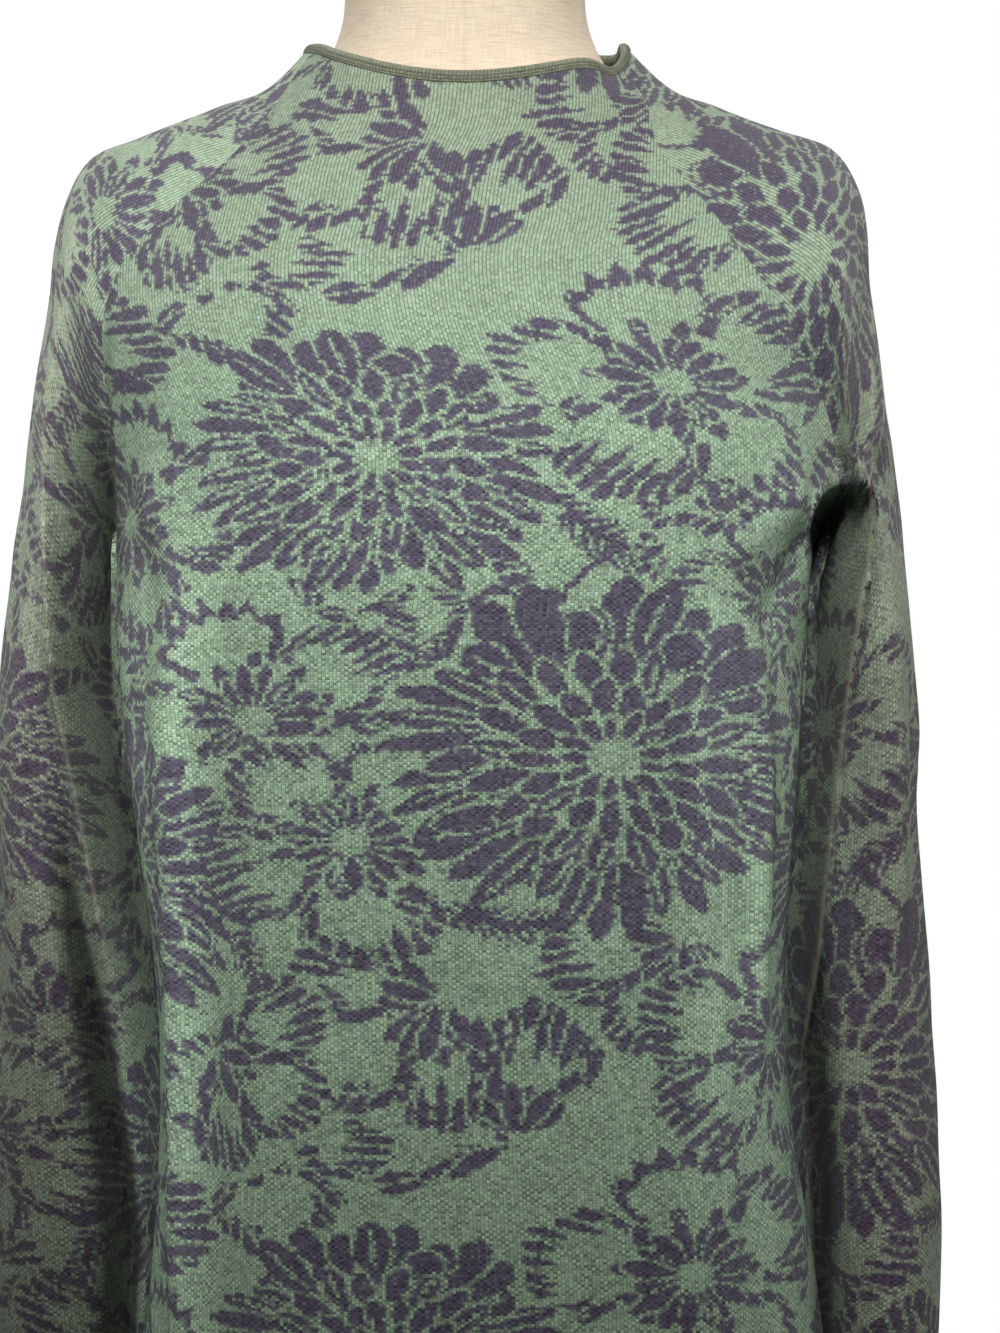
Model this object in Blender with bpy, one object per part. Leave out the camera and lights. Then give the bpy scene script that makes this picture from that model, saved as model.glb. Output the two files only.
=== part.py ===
"""Sweater dress on a limbless dress form.

A long jacquard-knit dress with raglan sleeves and a short funnel neck, worn by a linen-covered
dress form on a pole stand. Each cut piece of cloth is one closed thin wall: front, back, left
sleeve, right sleeve and the rolled rim of the neck. The form, its flange, the pole, the foot
collar and the base carry it.

The part stands on its base. The origin is the centre of the base's underside, +Z is up and the
front faces -Y. Left and right are those of a viewer who faces the front: left is -X.
"""

import math

import bpy
import numpy as np

# Lengths in this file are millimetres, and they become metres when a mesh is made.
MM = 0.001

WALL = 2.2              # thickness of the knit
SEAM_GAP = 0.3          # clear space along each seam
HEM_HEIGHT = 500.0
UNDERARM_HEIGHT = 1200.0

RAGLAN_ROWS = 11        # rows of faces from the neck edge down to the underarm
SKIRT_ROWS = 19         # rows of faces from the underarm down to the hem
FRONT_COLUMNS = 22
BACK_COLUMNS = 18
SLEEVE_COLUMNS = 16
LOWER_SLEEVE_ROWS = 14
FINE = 72               # points along half a section before it is spaced out evenly

RIM_HALF_HEIGHT = 2.3
RIM_HALF_WIDTH = 1.9
RIM_POINTS = 48
RIM_SIDES = 8

FORM_SIDES = 32
FORM_BOTTOM = 700.0
BASE_RADIUS = 190.0
BASE_THICKNESS = 12.0
BASE_EDGE = 3.0
FOOT_RADIUS = 30.0
FOOT_HEIGHT = 34.0
POLE_RADIUS = 13.0
FLANGE_RADIUS = 46.0
FLANGE_THICKNESS = 8.0
TURNED_SIDES = 48
GAP = 0.3

KNIT_GREEN = (0.165, 0.300, 0.160)
LINEN = (0.80, 0.72, 0.60)
STEEL = (0.62, 0.62, 0.63)
POWDER_COAT = (0.78, 0.77, 0.74)


def table(columns, *rows):
    """A dictionary of columns from rows written under their names."""
    names = columns.split()
    values = np.array(rows, float)
    return {name: values[:, place] for place, name in enumerate(names)}


# Torso sections from the neck edge to the underarm, highest first. height is the height of the
# seam with the sleeve; left and right are the section's half-widths; share is how much of that
# half-width the panel takes before its seam, and twist moves the four seams round the body;
# front, front_z, back and back_z are the middle of the front and back; power is the fullness
# of the curve.
YOKE = table(
    "height left right share twist front front_z back back_z power",
    (1431, 78.5, 80.5, 0.948, 0.000, 74, 1411, 66, 1440, 2.0),
    (1415, 93.0, 96.0, 0.893, 0.012, 79, 1396, 76, 1426, 2.0),
    (1379, 134, 134, 0.755, 0.060, 91, 1371, 92, 1396, 2.1),
    (1350, 168, 168, 0.760, 0.070, 103, 1346, 100, 1366, 2.2),
    (1326, 183, 182, 0.805, 0.075, 111, 1325, 104, 1340, 2.3),
    (1300, 187, 187, 0.860, 0.055, 118, 1299, 106, 1310, 2.4),
    (1255, 174, 179, 0.963, 0.000, 127, 1254, 106, 1260, 2.5),
    (1218, 167, 178, 0.996, 0.000, 131, 1218, 105, 1220, 2.5),
    (UNDERARM_HEIGHT, 167.5, 173, 1.000, 0.000, 132, UNDERARM_HEIGHT, 104, UNDERARM_HEIGHT, 2.5),
)

# Torso sections below the underarm.
SKIRT = table(
    "height left right front back power",
    (1176, 168, 167, 132, 102, 2.5),
    (1146, 168, 163, 129, 100, 2.5),
    (1092, 162, 161, 122, 95, 2.5),
    (1046, 155, 157, 117, 90, 2.4),
    (980, 147, 153, 113, 88, 2.4),
    (920, 146, 157, 114, 92, 2.4),
    (850, 150, 168, 119, 101, 2.4),
    (780, 158, 176, 124, 112, 2.4),
    (680, 174, 183, 129, 122, 2.4),
    (580, 185, 189, 133, 129, 2.4),
    (HEM_HEIGHT, 192, 194, 136, 133, 2.4),
)

# The sleeve's highest line, row for row with YOKE: its distance out and its height, and how far
# round the arm each row wraps, in degrees either side of that line.
CREST = table(
    "left left_z right right_z wrap",
    (78, 1433, 80, 1435, 62),
    (91, 1420.5, 95, 1419.5, 64),
    (120, 1408, 121, 1406.5, 72),
    (155, 1394, 150, 1395.5, 80),
    (179.5, 1384, 176, 1385.5, 90),
    (192, 1362, 187.5, 1367, 112),
    (198, 1318, 193.5, 1320, 142),
    (207, 1262, 201, 1264, 165),
    (210.5, 1234, 205, 1238, 180),
)
UNDERARM_DEPTH = 68.0   # half the sleeve's depth, front to back, at the underarm

# Closed sleeve sections under the underarm. x, y and height are the centre, out from the middle
# plane; half and depth are the half-widths across and front to back; turn swings the front edge
# in towards the body, in degrees; rise lifts the outer side over the inner one.
LEFT_SLEEVE = table(
    "height x y half depth turn rise",
    (1165, 192.0, 4, 22, 67, -4, 26),
    (1105, 193.8, 14, 27.5, 62, -10, 18),
    (1045, 191.5, 27, 34, 57, -13, 12),
    (990, 190.0, 36, 39, 53, -13, 8),
    (930, 190.0, 40, 42, 50, -12, 6),
    (870, 190.5, 40, 42, 47, -10, 4),
    (815, 192.0, 38, 38, 44, -8, 2),
    (776, 194.0, 36, 32, 40, -6, 0),
)
RIGHT_SLEEVE = table(
    "height x y half depth turn rise",
    (1172, 188.0, 3, 19.5, 69, -4, 24),
    (1110, 188.6, 14, 23.5, 63, -11, 16),
    (1050, 188.0, 26, 28.5, 58, -14, 10),
    (990, 189.8, 34, 33.8, 53, -14, 6),
    (930, 193.0, 38, 35.2, 49, -12, 4),
    (870, 198.5, 40, 33, 46, -10, 3),
    (815, 201.0, 38, 29, 43, -8, 1),
    (776, 202.5, 36, 26, 40, -6, 0),
)

# The largest folds of the body, as soft ridges, or troughs where depth is below nought. x_top
# and x_bottom are where the fold's ends lie, and side is -1 on the front and +1 on the back.
BODY_FOLDS = table(
    "side x_top x_bottom top bottom depth width",
    (-1, -134, -135, 1190, 780, 9, 15),
    (-1, 132, 137, 1170, 940, 7, 16),
    (-1, -72, -96, 760, 470, 7, 34),
    (-1, 28, 30, 740, 470, 6, 34),
    (-1, 112, 128, 770, 470, 7, 34),
    (1, -112, -128, 780, 470, 7, 34),
    (1, -20, -30, 730, 470, 6, 36),
    (1, 84, 98, 760, 470, 7, 34),
    (1, 60, 20, 1075, 900, -5, 32),
    (1, -60, -20, 1060, 910, -4, 30),
)

# The largest folds of the sleeves. place is how far round the sleeve the fold lies, from 0 at
# the underarm seam over the front to 1 at the seam again; side is -1 on the left sleeve.
SLEEVE_FOLDS = table(
    "side place_top place_bottom top bottom depth width",
    (-1, 0.30, 0.18, 1195, 880, 7, 0.045),
    (-1, 0.13, 0.10, 1150, 930, -5, 0.06),
    (-1, 0.25, 0.17, 1030, 776, -9, 0.045),
    (-1, 0.74, 0.70, 1150, 960, -5, 0.06),
    (1, 0.28, 0.18, 1195, 920, 7, 0.045),
    (1, 0.13, 0.09, 1150, 960, -5, 0.06),
    (1, 0.17, 0.12, 980, 776, -6, 0.05),
    (1, 0.72, 0.76, 1120, 880, -5, 0.06),
)

# The dress form, smooth and closed: half-width, front and back of each section.
FORM = table(
    "height half front back power",
    (FORM_BOTTOM, 138, 92, 96, 2.3),
    (780, 137, 93, 98, 2.3),
    (850, 131, 92, 90, 2.3),
    (920, 122, 88, 76, 2.2),
    (985, 118, 86, 68, 2.2),
    (1050, 123, 91, 72, 2.2),
    (1120, 134, 104, 82, 2.2),
    (1190, 145, 116, 90, 2.2),
    (1250, 152, 110, 92, 2.3),
    (1300, 160, 99, 90, 2.3),
    (1340, 165, 86, 84, 2.3),
    (1362, 166, 76, 78, 2.3),
    (1377, 162, 66, 68, 2.1),
    (1389, 148, 60, 62.4, 2.0),
    (1400, 121, 57, 61, 1.95),
    (1410, 94, 60, 64, 2.0),
    (1420, 75, 58, 61, 2.0),
    (1430, 66, 56, 58, 2.0),
    (1442, 60.5, 55, 56, 2.0),
    (1470, 57, 54, 56, 2.0),
    (1514, 56.5, 53, 56, 2.0),
    (1519, 54.5, 51, 54, 2.0),
    (1521, 50.5, 47, 50, 2.0),
)


def clear_scene():
    """Removes every object, mesh and material that the scene starts with."""
    for kind in (bpy.data.objects, bpy.data.meshes, bpy.data.materials):
        for item in list(kind):
            kind.remove(item)


def material(name, colour, roughness, metallic=0.0):
    """A Principled material of one colour."""
    made = bpy.data.materials.new(name)
    made.use_nodes = True
    shader = made.node_tree.nodes["Principled BSDF"]
    shader.inputs["Base Color"].default_value = (*colour, 1.0)
    shader.inputs["Roughness"].default_value = roughness
    shader.inputs["Metallic"].default_value = metallic
    return made


def curve_through(knots, values, where):
    """The values at where, on smooth curves that pass through values at knots."""
    knots = np.asarray(knots, float)
    values = np.asarray(values, float)
    where = np.asarray(where, float)
    each = (-1,) + (1,) * (values.ndim - 1)
    steps = np.diff(knots)
    rates = np.diff(values, axis=0) / steps.reshape(each)
    before = steps[:-1].reshape(each)
    after = steps[1:].reshape(each)
    slopes = np.empty_like(values)
    slopes[0] = rates[0]
    slopes[-1] = rates[-1]
    slopes[1:-1] = (after * rates[:-1] + before * rates[1:]) / (before + after)
    span = np.clip(np.searchsorted(knots, where, side="right") - 1, 0, len(steps) - 1)
    step = steps[span].reshape(each)
    t = ((where - knots[span]) / steps[span]).reshape(each)
    start = (2 * t**3 - 3 * t**2 + 1) * values[span] + (t**3 - 2 * t**2 + t) * slopes[span] * step
    end = (3 * t**2 - 2 * t**3) * values[span + 1] + (t**3 - t**2) * slopes[span + 1] * step
    return start + end


def spaced(points, count):
    """count + 1 points at equal steps along a line of points."""
    lengths = np.linalg.norm(np.diff(points, axis=0), axis=1)
    along = np.concatenate([[0.0], np.cumsum(lengths)])
    wanted = np.linspace(0.0, along[-1], count + 1)
    return np.stack([np.interp(wanted, along, points[:, axis]) for axis in range(3)], axis=1)


def unit(vectors):
    """The vectors at length 1."""
    return vectors / np.maximum(np.linalg.norm(vectors, axis=-1, keepdims=True), 1e-9)


def fade(value, low, high):
    """0 at low and under, 1 at high and over, and smooth between."""
    t = np.clip((value - low) / (high - low), 0.0, 1.0)
    return t * t * (3 - 2 * t)


def fold_window(height, top, bottom):
    """1 along a fold and 0 past its ends, with soft ends a quarter of its length long."""
    soft = 0.25 * (top - bottom)
    return fade(height, bottom, bottom + soft) * (1 - fade(height, top - soft, top))


def with_body_folds(points, side):
    """A row of the torso with the body's folds raised from it or sunk into it."""
    across = unit(np.gradient(points, axis=0))
    outward = np.stack([across[:, 1] * -side, across[:, 0] * side, 0 * across[:, 0]], axis=1)
    lift = np.zeros(len(points))
    for row in range(len(BODY_FOLDS["side"])):
        fold = {name: column[row] for name, column in BODY_FOLDS.items()}
        if fold["side"] != side:
            continue
        height = points[:, 2]
        down = (fold["top"] - height) / (fold["top"] - fold["bottom"])
        middle = fold["x_top"] + (fold["x_bottom"] - fold["x_top"]) * np.clip(down, 0, 1)
        shape = np.exp(-(((points[:, 0] - middle) / fold["width"]) ** 2))
        lift += fold["depth"] * shape * fold_window(height, fold["top"], fold["bottom"])
    edge = np.minimum(np.arange(len(points)), np.arange(len(points))[::-1]) / (0.12 * len(points))
    return points + outward * (lift * fade(edge, 0.0, 1.0))[:, None]


def half_section(reach, depth, power, share):
    """A torso section from its middle out to the share of its half-width, as (x, y) from (0, depth)."""
    last = math.asin(min(share, 1.0) ** (power / 2))
    angle = np.linspace(0.0, last, FINE)
    return reach * np.sin(angle) ** (2 / power), depth * np.cos(angle) ** (2 / power)


def torso_row(row, side):
    """One row across the front (side -1) or the back (+1), from its left edge to its right one."""
    depth, middle = (row["front"], row["front_z"]) if side < 0 else (row["back"], row["back_z"])
    halves = []
    for hand, reach in ((-1, row["left"]), (1, row["right"])):
        share = row["share"] + row["twist"] * hand * side
        x, y = half_section(reach, depth, row["power"], share)
        z = middle + (row["height"] - middle) * (x / x[-1]) ** 2
        halves.append(np.stack([hand * x, side * y, z], axis=1))
    whole = np.concatenate([halves[0][:0:-1], halves[1]])
    return with_body_folds(whole, side)


def yoke_row(index):
    """The named values of one yoke row."""
    return {name: column[index] for name, column in YOKE.items()}


def skirt_row(index):
    """The named values of one skirt row, whose edges are the side seams."""
    row = {name: column[index] for name, column in SKIRT.items()}
    row.update(share=1.0, twist=0.0, front_z=row["height"], back_z=row["height"])
    return row


def torso_rows():
    """The named values of every torso row, from the neck edge to the hem."""
    return [yoke_row(i) for i in range(len(YOKE["height"]))] + [
        skirt_row(i) for i in range(len(SKIRT["height"]))
    ]


def seam_knots():
    """How far down the raglan seam each yoke row lies, the same for every piece that meets it."""
    points = np.array([torso_row(yoke_row(i), -1)[0] for i in range(len(YOKE["height"]))])
    lengths = np.linalg.norm(np.diff(points, axis=0), axis=1)
    return np.concatenate([[0.0], np.cumsum(lengths)])


def raglan_seam(side, hand, where):
    """Points of one raglan seam: side -1 is the front, hand -1 is the left."""
    end = 0 if hand < 0 else -1
    points = [torso_row(yoke_row(i), side)[end] for i in range(len(YOKE["height"]))]
    return curve_through(seam_knots(), np.array(points), where)


def pinned(grid, columns, seam, first):
    """The grid with its first or last column moved onto the seam, and its neighbours eased after it."""
    share = np.linspace(0.0, 1.0, columns + 1)
    pull = 1 - fade(share if first else 1 - share, 0.0, 0.3)
    moved = seam - grid[: len(seam), 0 if first else -1]
    grid[: len(seam)] += moved[:, None] * pull[None, :, None]
    return grid


def yoke_places():
    """How far down the raglan seam each row of faces starts."""
    return np.linspace(0.0, seam_knots()[-1], RAGLAN_ROWS + 1)


def torso_grid(side, columns):
    """Rows by columns of points on the front (side -1) or back (+1), from neck edge to hem."""
    rows = np.array([spaced(torso_row(row, side), columns) for row in torso_rows()])
    under = UNDERARM_HEIGHT - SKIRT["height"]
    knots = np.concatenate([seam_knots(), seam_knots()[-1] + under])
    yoke = yoke_places()
    skirt = np.linspace(yoke[-1], knots[-1], SKIRT_ROWS + 1)[1:]
    grid = curve_through(knots, rows, np.concatenate([yoke, skirt]))
    for hand in (-1, 1):
        grid = pinned(grid, columns, raglan_seam(side, hand, yoke), hand < 0)
    return grid


def wrapped_row(index, hand):
    """An open sleeve row: from the front seam over the crest to the back seam."""
    name = "left" if hand < 0 else "right"
    end = 0 if hand < 0 else -1
    front = torso_row(yoke_row(index), -1)[end]
    back = torso_row(yoke_row(index), 1)[end]
    wrap = math.radians(CREST["wrap"][index])
    crest = np.array([hand * CREST[name][index], (front[1] + back[1]) / 2, CREST[name + "_z"][index]])
    under = index == len(CREST["wrap"]) - 1
    quarters = []
    for seam, sign in ((front, -1), (back, 1)):
        depth = UNDERARM_DEPTH if under else abs(seam[1] - crest[1]) / math.sin(wrap)
        foot = np.array([seam[0], crest[1], seam[2]])
        fall = (crest - foot) / (1 - math.cos(wrap))
        angle = np.linspace(0.0, wrap, FINE)[:, None]
        swing = np.array([0.0, sign * depth, 0.0])
        quarters.append(crest - fall * (1 - np.cos(angle)) + swing * np.sin(angle))
    return np.concatenate([quarters[0][::-1], quarters[1][1:]])


def closed_row(sleeve, index, hand):
    """A closed sleeve row, from the underarm seam round the front, the outside and the back."""
    row = {name: column[index] for name, column in sleeve.items()}
    turn = math.radians(row["turn"])
    out = np.array([hand * math.cos(turn), -math.sin(turn), 0.0])
    ahead = np.array([-hand * math.sin(turn), -math.cos(turn), 0.0])
    angle = np.linspace(math.pi, -math.pi, 2 * FINE - 1)[:, None]
    centre = np.array([hand * row["x"], row["y"], row["height"]])
    lift = np.array([0.0, 0.0, row["rise"] / 2])
    return centre + np.cos(angle) * (row["half"] * out + lift) + np.sin(angle) * row["depth"] * ahead


def with_sleeve_folds(grid, normals, hand):
    """The sleeve's grid with its folds raised from it or sunk into it."""
    place = np.linspace(0.0, 1.0, grid.shape[1])[None, :]
    height = grid[:, :, 2]
    lift = np.zeros(height.shape)
    for row in range(len(SLEEVE_FOLDS["side"])):
        fold = {name: column[row] for name, column in SLEEVE_FOLDS.items()}
        if fold["side"] != hand:
            continue
        down = np.clip((fold["top"] - height) / (fold["top"] - fold["bottom"]), 0, 1)
        middle = fold["place_top"] + (fold["place_bottom"] - fold["place_top"]) * down
        shape = np.exp(-(((place - middle) / fold["width"]) ** 2))
        lift += fold["depth"] * shape * fold_window(height, fold["top"], fold["bottom"])
    return grid + normals * lift[:, :, None]


def grid_normals(grid, closed_from=None):
    """Outward normals of a grid; rows from closed_from on are rings whose ends are one point."""
    down = np.gradient(grid, axis=0)
    across = np.gradient(grid, axis=1)
    if closed_from is not None:
        joined = (grid[closed_from:, 1] - grid[closed_from:, -2]) / 2
        across[closed_from:, 0] = joined
        across[closed_from:, -1] = joined
        # The underarm row meets two open edges above it, so its steps down look only downwards.
        down[closed_from, 0] = grid[closed_from + 1, 0] - grid[closed_from, 0]
        down[closed_from, -1] = down[closed_from, 0]
    return unit(np.cross(down, across))


def sleeve_grid(hand):
    """Rows by columns of points on a sleeve, from the neck edge to the cuff edge."""
    sleeve = LEFT_SLEEVE if hand < 0 else RIGHT_SLEEVE
    open_rows = [spaced(wrapped_row(i, hand), SLEEVE_COLUMNS) for i in range(len(CREST["wrap"]))]
    rings = [spaced(closed_row(sleeve, i, hand), SLEEVE_COLUMNS) for i in range(len(sleeve["height"]))]
    rows = np.array(open_rows + rings)
    steps = np.linalg.norm(np.diff(rows[len(open_rows) - 1:].mean(axis=1), axis=0), axis=1)
    knots = np.concatenate([seam_knots(), seam_knots()[-1] + np.cumsum(steps)])
    yoke = yoke_places()
    lower = np.linspace(yoke[-1], knots[-1], LOWER_SLEEVE_ROWS + 1)[1:]
    grid = curve_through(knots, rows, np.concatenate([yoke, lower]))
    for side, first in ((-1, True), (1, False)):
        grid = pinned(grid, SLEEVE_COLUMNS, raglan_seam(side, hand, yoke), first)
    normals = grid_normals(grid, RAGLAN_ROWS)
    if hand < 0:
        normals = -normals
    return with_sleeve_folds(grid, normals, hand)


def make_object(name, points, faces, finish, smooth=True):
    """A mesh object from points in millimetres."""
    mesh = bpy.data.meshes.new(name)
    mesh.from_pydata([tuple(p) for p in np.asarray(points) * MM], [], [tuple(f) for f in faces])
    mesh.materials.append(finish)
    if smooth:
        mesh.shade_smooth()
    mesh.update()
    made = bpy.data.objects.new(name, mesh)
    bpy.context.scene.collection.objects.link(made)
    return made


def grid_faces(rows, columns, index, flip):
    """Four-cornered faces of a grid whose corner numbers are in index."""
    faces = []
    for i in range(rows):
        for j in range(columns):
            face = [index[i, j], index[i, j + 1], index[i + 1, j + 1], index[i + 1, j]]
            faces.append(face[::-1] if flip else face)
    return faces


def thick_cloth(name, grid, normals, index, flip, finish):
    """A closed wall: the grid, the same grid one wall inwards, and the edges between them."""
    count = int(index.max()) + 1
    outer = np.zeros((count, 3))
    inner = np.zeros((count, 3))
    outer[index.ravel()] = grid.reshape(-1, 3)
    inner[index.ravel()] = (grid - normals * WALL).reshape(-1, 3)
    faces = grid_faces(grid.shape[0] - 1, grid.shape[1] - 1, index, flip)
    inside = [[corner + count for corner in face[::-1]] for face in faces]
    open_edges = {}
    for face in faces:
        for a, b in zip(face, face[1:] + face[:1]):
            if (b, a) in open_edges:
                del open_edges[b, a]
            else:
                open_edges[a, b] = True
    walls = [[b, a, a + count, b + count] for a, b in open_edges]
    return make_object(name, np.concatenate([outer, inner]), faces + inside + walls, finish)


def seam_shift(seam, normals, towards):
    """Half a seam gap, square to the seam and to its normal, towards a piece's own inside."""
    along = unit(np.gradient(seam, axis=0))
    shift = unit(np.cross(along, normals))
    sign = np.sign((shift * towards).sum(axis=1, keepdims=True))
    return shift * np.where(sign == 0, 1.0, sign) * SEAM_GAP / 2


def part_seam(first, first_normals, first_column, second, second_normals, second_column, rows):
    """Opens the gap between two grids that share a seam, and gives both the same normals there."""
    seam = first[:rows, first_column].copy()
    shared = unit(first_normals[:rows, first_column] + second_normals[:rows, second_column])
    first_next = 1 if first_column == 0 else -2
    second_next = 1 if second_column == 0 else -2
    apart = first[:rows, first_next] - second[:rows, second_next]
    shift = seam_shift(seam, shared, apart)
    first[:rows, first_column] = seam + shift
    second[:rows, second_column] = seam - shift
    first_normals[:rows, first_column] = shared
    second_normals[:rows, second_column] = shared


def plain_index(grid):
    """Corner numbers of a grid, row by row."""
    rows, columns = grid.shape[:2]
    return np.arange(rows * columns).reshape(rows, columns)


def sleeve_index(grid):
    """Corner numbers of a sleeve: its last column is its first one from the underarm down."""
    index = plain_index(grid)
    index[RAGLAN_ROWS:, -1] = index[RAGLAN_ROWS:, 0]
    used = np.unique(index)
    return np.searchsorted(used, index)


def neck_loop(panels):
    """The neck edge as one closed line: middle of the wall, and the way up out of it."""
    middles = []
    ups = []
    for grid, normals, backwards in panels:
        line = grid[0] - normals[0] * WALL / 2
        up = unit(grid[0] - grid[1])
        if backwards:
            line = line[::-1]
            up = up[::-1]
        middles.append(line[:-1])
        ups.append(up[:-1])
    middle = np.concatenate(middles)
    up = np.concatenate(ups)
    lengths = np.linalg.norm(np.roll(middle, -1, axis=0) - middle, axis=1)
    along = np.concatenate([[0.0], np.cumsum(lengths)])
    wanted = np.arange(RIM_POINTS) * along[-1] / RIM_POINTS
    both = np.concatenate([np.hstack([middle, up]), np.hstack([middle[:1], up[:1]])])
    found = np.stack([np.interp(wanted, along, both[:, axis]) for axis in range(6)], axis=1)
    return found[:, :3], unit(found[:, 3:])


def rolled_rim(panels, finish):
    """The rolled edge of the neck: a soft eight-sided roll that follows the neck edge."""
    middle, up = neck_loop(panels)
    along = unit(np.roll(middle, -1, axis=0) - np.roll(middle, 1, axis=0))
    across = unit(np.cross(along, up))
    centre = middle + up * (RIM_HALF_HEIGHT + 2 * SEAM_GAP)
    points = []
    for side in range(RIM_SIDES):
        angle = 2 * math.pi * (side + 0.5) / RIM_SIDES
        points.append(
            centre
            + across * RIM_HALF_WIDTH * math.cos(angle)
            + up * RIM_HALF_HEIGHT * math.sin(angle)
        )
    return closed_tube("neck_rim", np.stack(points[::-1], axis=1), finish)


def closed_tube(name, rings, finish):
    """A ring-shaped body from rings of points that follow a closed line."""
    count, sides = rings.shape[:2]
    faces = []
    for i in range(count):
        for j in range(sides):
            after = (i + 1) % count
            beside = (j + 1) % sides
            faces.append([i * sides + j, i * sides + beside, after * sides + beside, after * sides + j])
    return make_object(name, rings.reshape(-1, 3), faces, finish)


def capped_rings(name, rings, finish):
    """A closed body from rings of points, lowest first, with a flat cap at each end."""
    count, sides = rings.shape[:2]
    faces = [list(range(sides))[::-1]]
    for i in range(count - 1):
        for j in range(sides):
            beside = (j + 1) % sides
            faces.append([i * sides + j, i * sides + beside, (i + 1) * sides + beside, (i + 1) * sides + j])
    faces.append([(count - 1) * sides + j for j in range(sides)])
    made = make_object(name, rings.reshape(-1, 3), faces, finish)
    made.data.set_sharp_from_angle(angle=math.radians(40))
    return made


def dress_form(finish):
    """The limbless form: one smooth closed body from hip to neck."""
    angle = np.arange(FORM_SIDES) * 2 * math.pi / FORM_SIDES
    rings = []
    for row in range(len(FORM["height"])):
        section = {name: column[row] for name, column in FORM.items()}
        roundness = 2 / section["power"]
        x = section["half"] * np.sign(np.cos(angle)) * np.abs(np.cos(angle)) ** roundness
        depth = np.where(np.sin(angle) < 0, section["front"], section["back"])
        y = depth * np.sign(np.sin(angle)) * np.abs(np.sin(angle)) ** roundness
        rings.append(np.stack([x, y, np.full(FORM_SIDES, section["height"])], axis=1))
    return capped_rings("form_body", np.array(rings), finish)


def turned(name, profile, finish):
    """A solid turned round the Z axis from (radius, height) pairs, lowest first."""
    angle = np.arange(TURNED_SIDES) * 2 * math.pi / TURNED_SIDES
    rings = [
        np.stack([radius * np.cos(angle), radius * np.sin(angle), np.full(TURNED_SIDES, height)], axis=1)
        for radius, height in profile
    ]
    return capped_rings(name, np.array(rings), finish)


def stand(steel, coat):
    """Base, foot collar, pole and flange, each on the one below it."""
    base_top = BASE_THICKNESS
    pole_bottom = base_top + GAP
    flange_bottom = FORM_BOTTOM - GAP - FLANGE_THICKNESS
    turned(
        "stand_base",
        [
            (BASE_RADIUS - 1.0, 0.0),
            (BASE_RADIUS, 1.0),
            (BASE_RADIUS, base_top - BASE_EDGE),
            (BASE_RADIUS - 0.3 * BASE_EDGE, base_top - 0.3 * BASE_EDGE),
            (BASE_RADIUS - BASE_EDGE, base_top),
        ],
        coat,
    )
    turned("stand_pole", [(POLE_RADIUS, pole_bottom), (POLE_RADIUS, flange_bottom - GAP)], steel)
    turned(
        "stand_flange",
        [
            (FLANGE_RADIUS - 2.0, flange_bottom),
            (FLANGE_RADIUS, flange_bottom + 2.0),
            (FLANGE_RADIUS, flange_bottom + FLANGE_THICKNESS),
        ],
        steel,
    )
    foot_collar(pole_bottom, steel)


def foot_collar(bottom, finish):
    """The collar round the foot of the pole, a ring turned with its bore."""
    bore = POLE_RADIUS + GAP
    profile = [
        (bore, bottom),
        (FOOT_RADIUS, bottom),
        (FOOT_RADIUS, bottom + 0.35 * FOOT_HEIGHT),
        (POLE_RADIUS + 6.0, bottom + FOOT_HEIGHT),
        (bore, bottom + FOOT_HEIGHT),
    ]
    rings = []
    for step in range(TURNED_SIDES):
        angle = 2 * math.pi * step / TURNED_SIDES
        rings.append([(r * math.cos(angle), r * math.sin(angle), h) for r, h in profile])
    made = closed_tube("stand_foot", np.array(rings)[::-1], finish)
    made.data.set_sharp_from_angle(angle=math.radians(40))


def dress(knit):
    """All the cloth: both torso panels, both sleeves and the rim, parted along their seams."""
    front = torso_grid(-1, FRONT_COLUMNS)
    back = torso_grid(1, BACK_COLUMNS)
    left = sleeve_grid(-1)
    right = sleeve_grid(1)
    front_normals = grid_normals(front)
    back_normals = -grid_normals(back)
    left_normals = -grid_normals(left, RAGLAN_ROWS)
    right_normals = grid_normals(right, RAGLAN_ROWS)

    # Down the sides, front and back share one seam from the underarm to the hem.
    for column in (0, -1):
        seam = front[RAGLAN_ROWS:, column]
        shared = unit(front_normals[RAGLAN_ROWS:, column] + back_normals[RAGLAN_ROWS:, column])
        shift = seam_shift(seam, shared, np.tile([0.0, -1.0, 0.0], (len(seam), 1)))
        back[RAGLAN_ROWS:, column] = seam - shift
        front[RAGLAN_ROWS:, column] = seam + shift
        front_normals[RAGLAN_ROWS:, column] = shared
        back_normals[RAGLAN_ROWS:, column] = shared

    # The underarm point of each sleeve moves a little down and out, clear of both panels.
    for sleeve, hand in ((left, -1), (right, 1)):
        sleeve[RAGLAN_ROWS, 0] += SEAM_GAP * np.array([1.5 * hand, 0.0, -3.0])
        sleeve[RAGLAN_ROWS, -1] = sleeve[RAGLAN_ROWS, 0]

    part_seam(front, front_normals, 0, left, left_normals, 0, RAGLAN_ROWS)
    part_seam(front, front_normals, -1, right, right_normals, 0, RAGLAN_ROWS)
    part_seam(back, back_normals, 0, left, left_normals, -1, RAGLAN_ROWS)
    part_seam(back, back_normals, -1, right, right_normals, -1, RAGLAN_ROWS)

    thick_cloth("dress_front", front, front_normals, plain_index(front), True, knit)
    thick_cloth("dress_back", back, back_normals, plain_index(back), False, knit)
    thick_cloth("sleeve_left", left, left_normals, sleeve_index(left), False, knit)
    thick_cloth("sleeve_right", right, right_normals, sleeve_index(right), True, knit)
    rolled_rim(
        [
            (front, front_normals, False),
            (right, right_normals, False),
            (back, back_normals, True),
            (left, left_normals, True),
        ],
        knit,
    )


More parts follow.
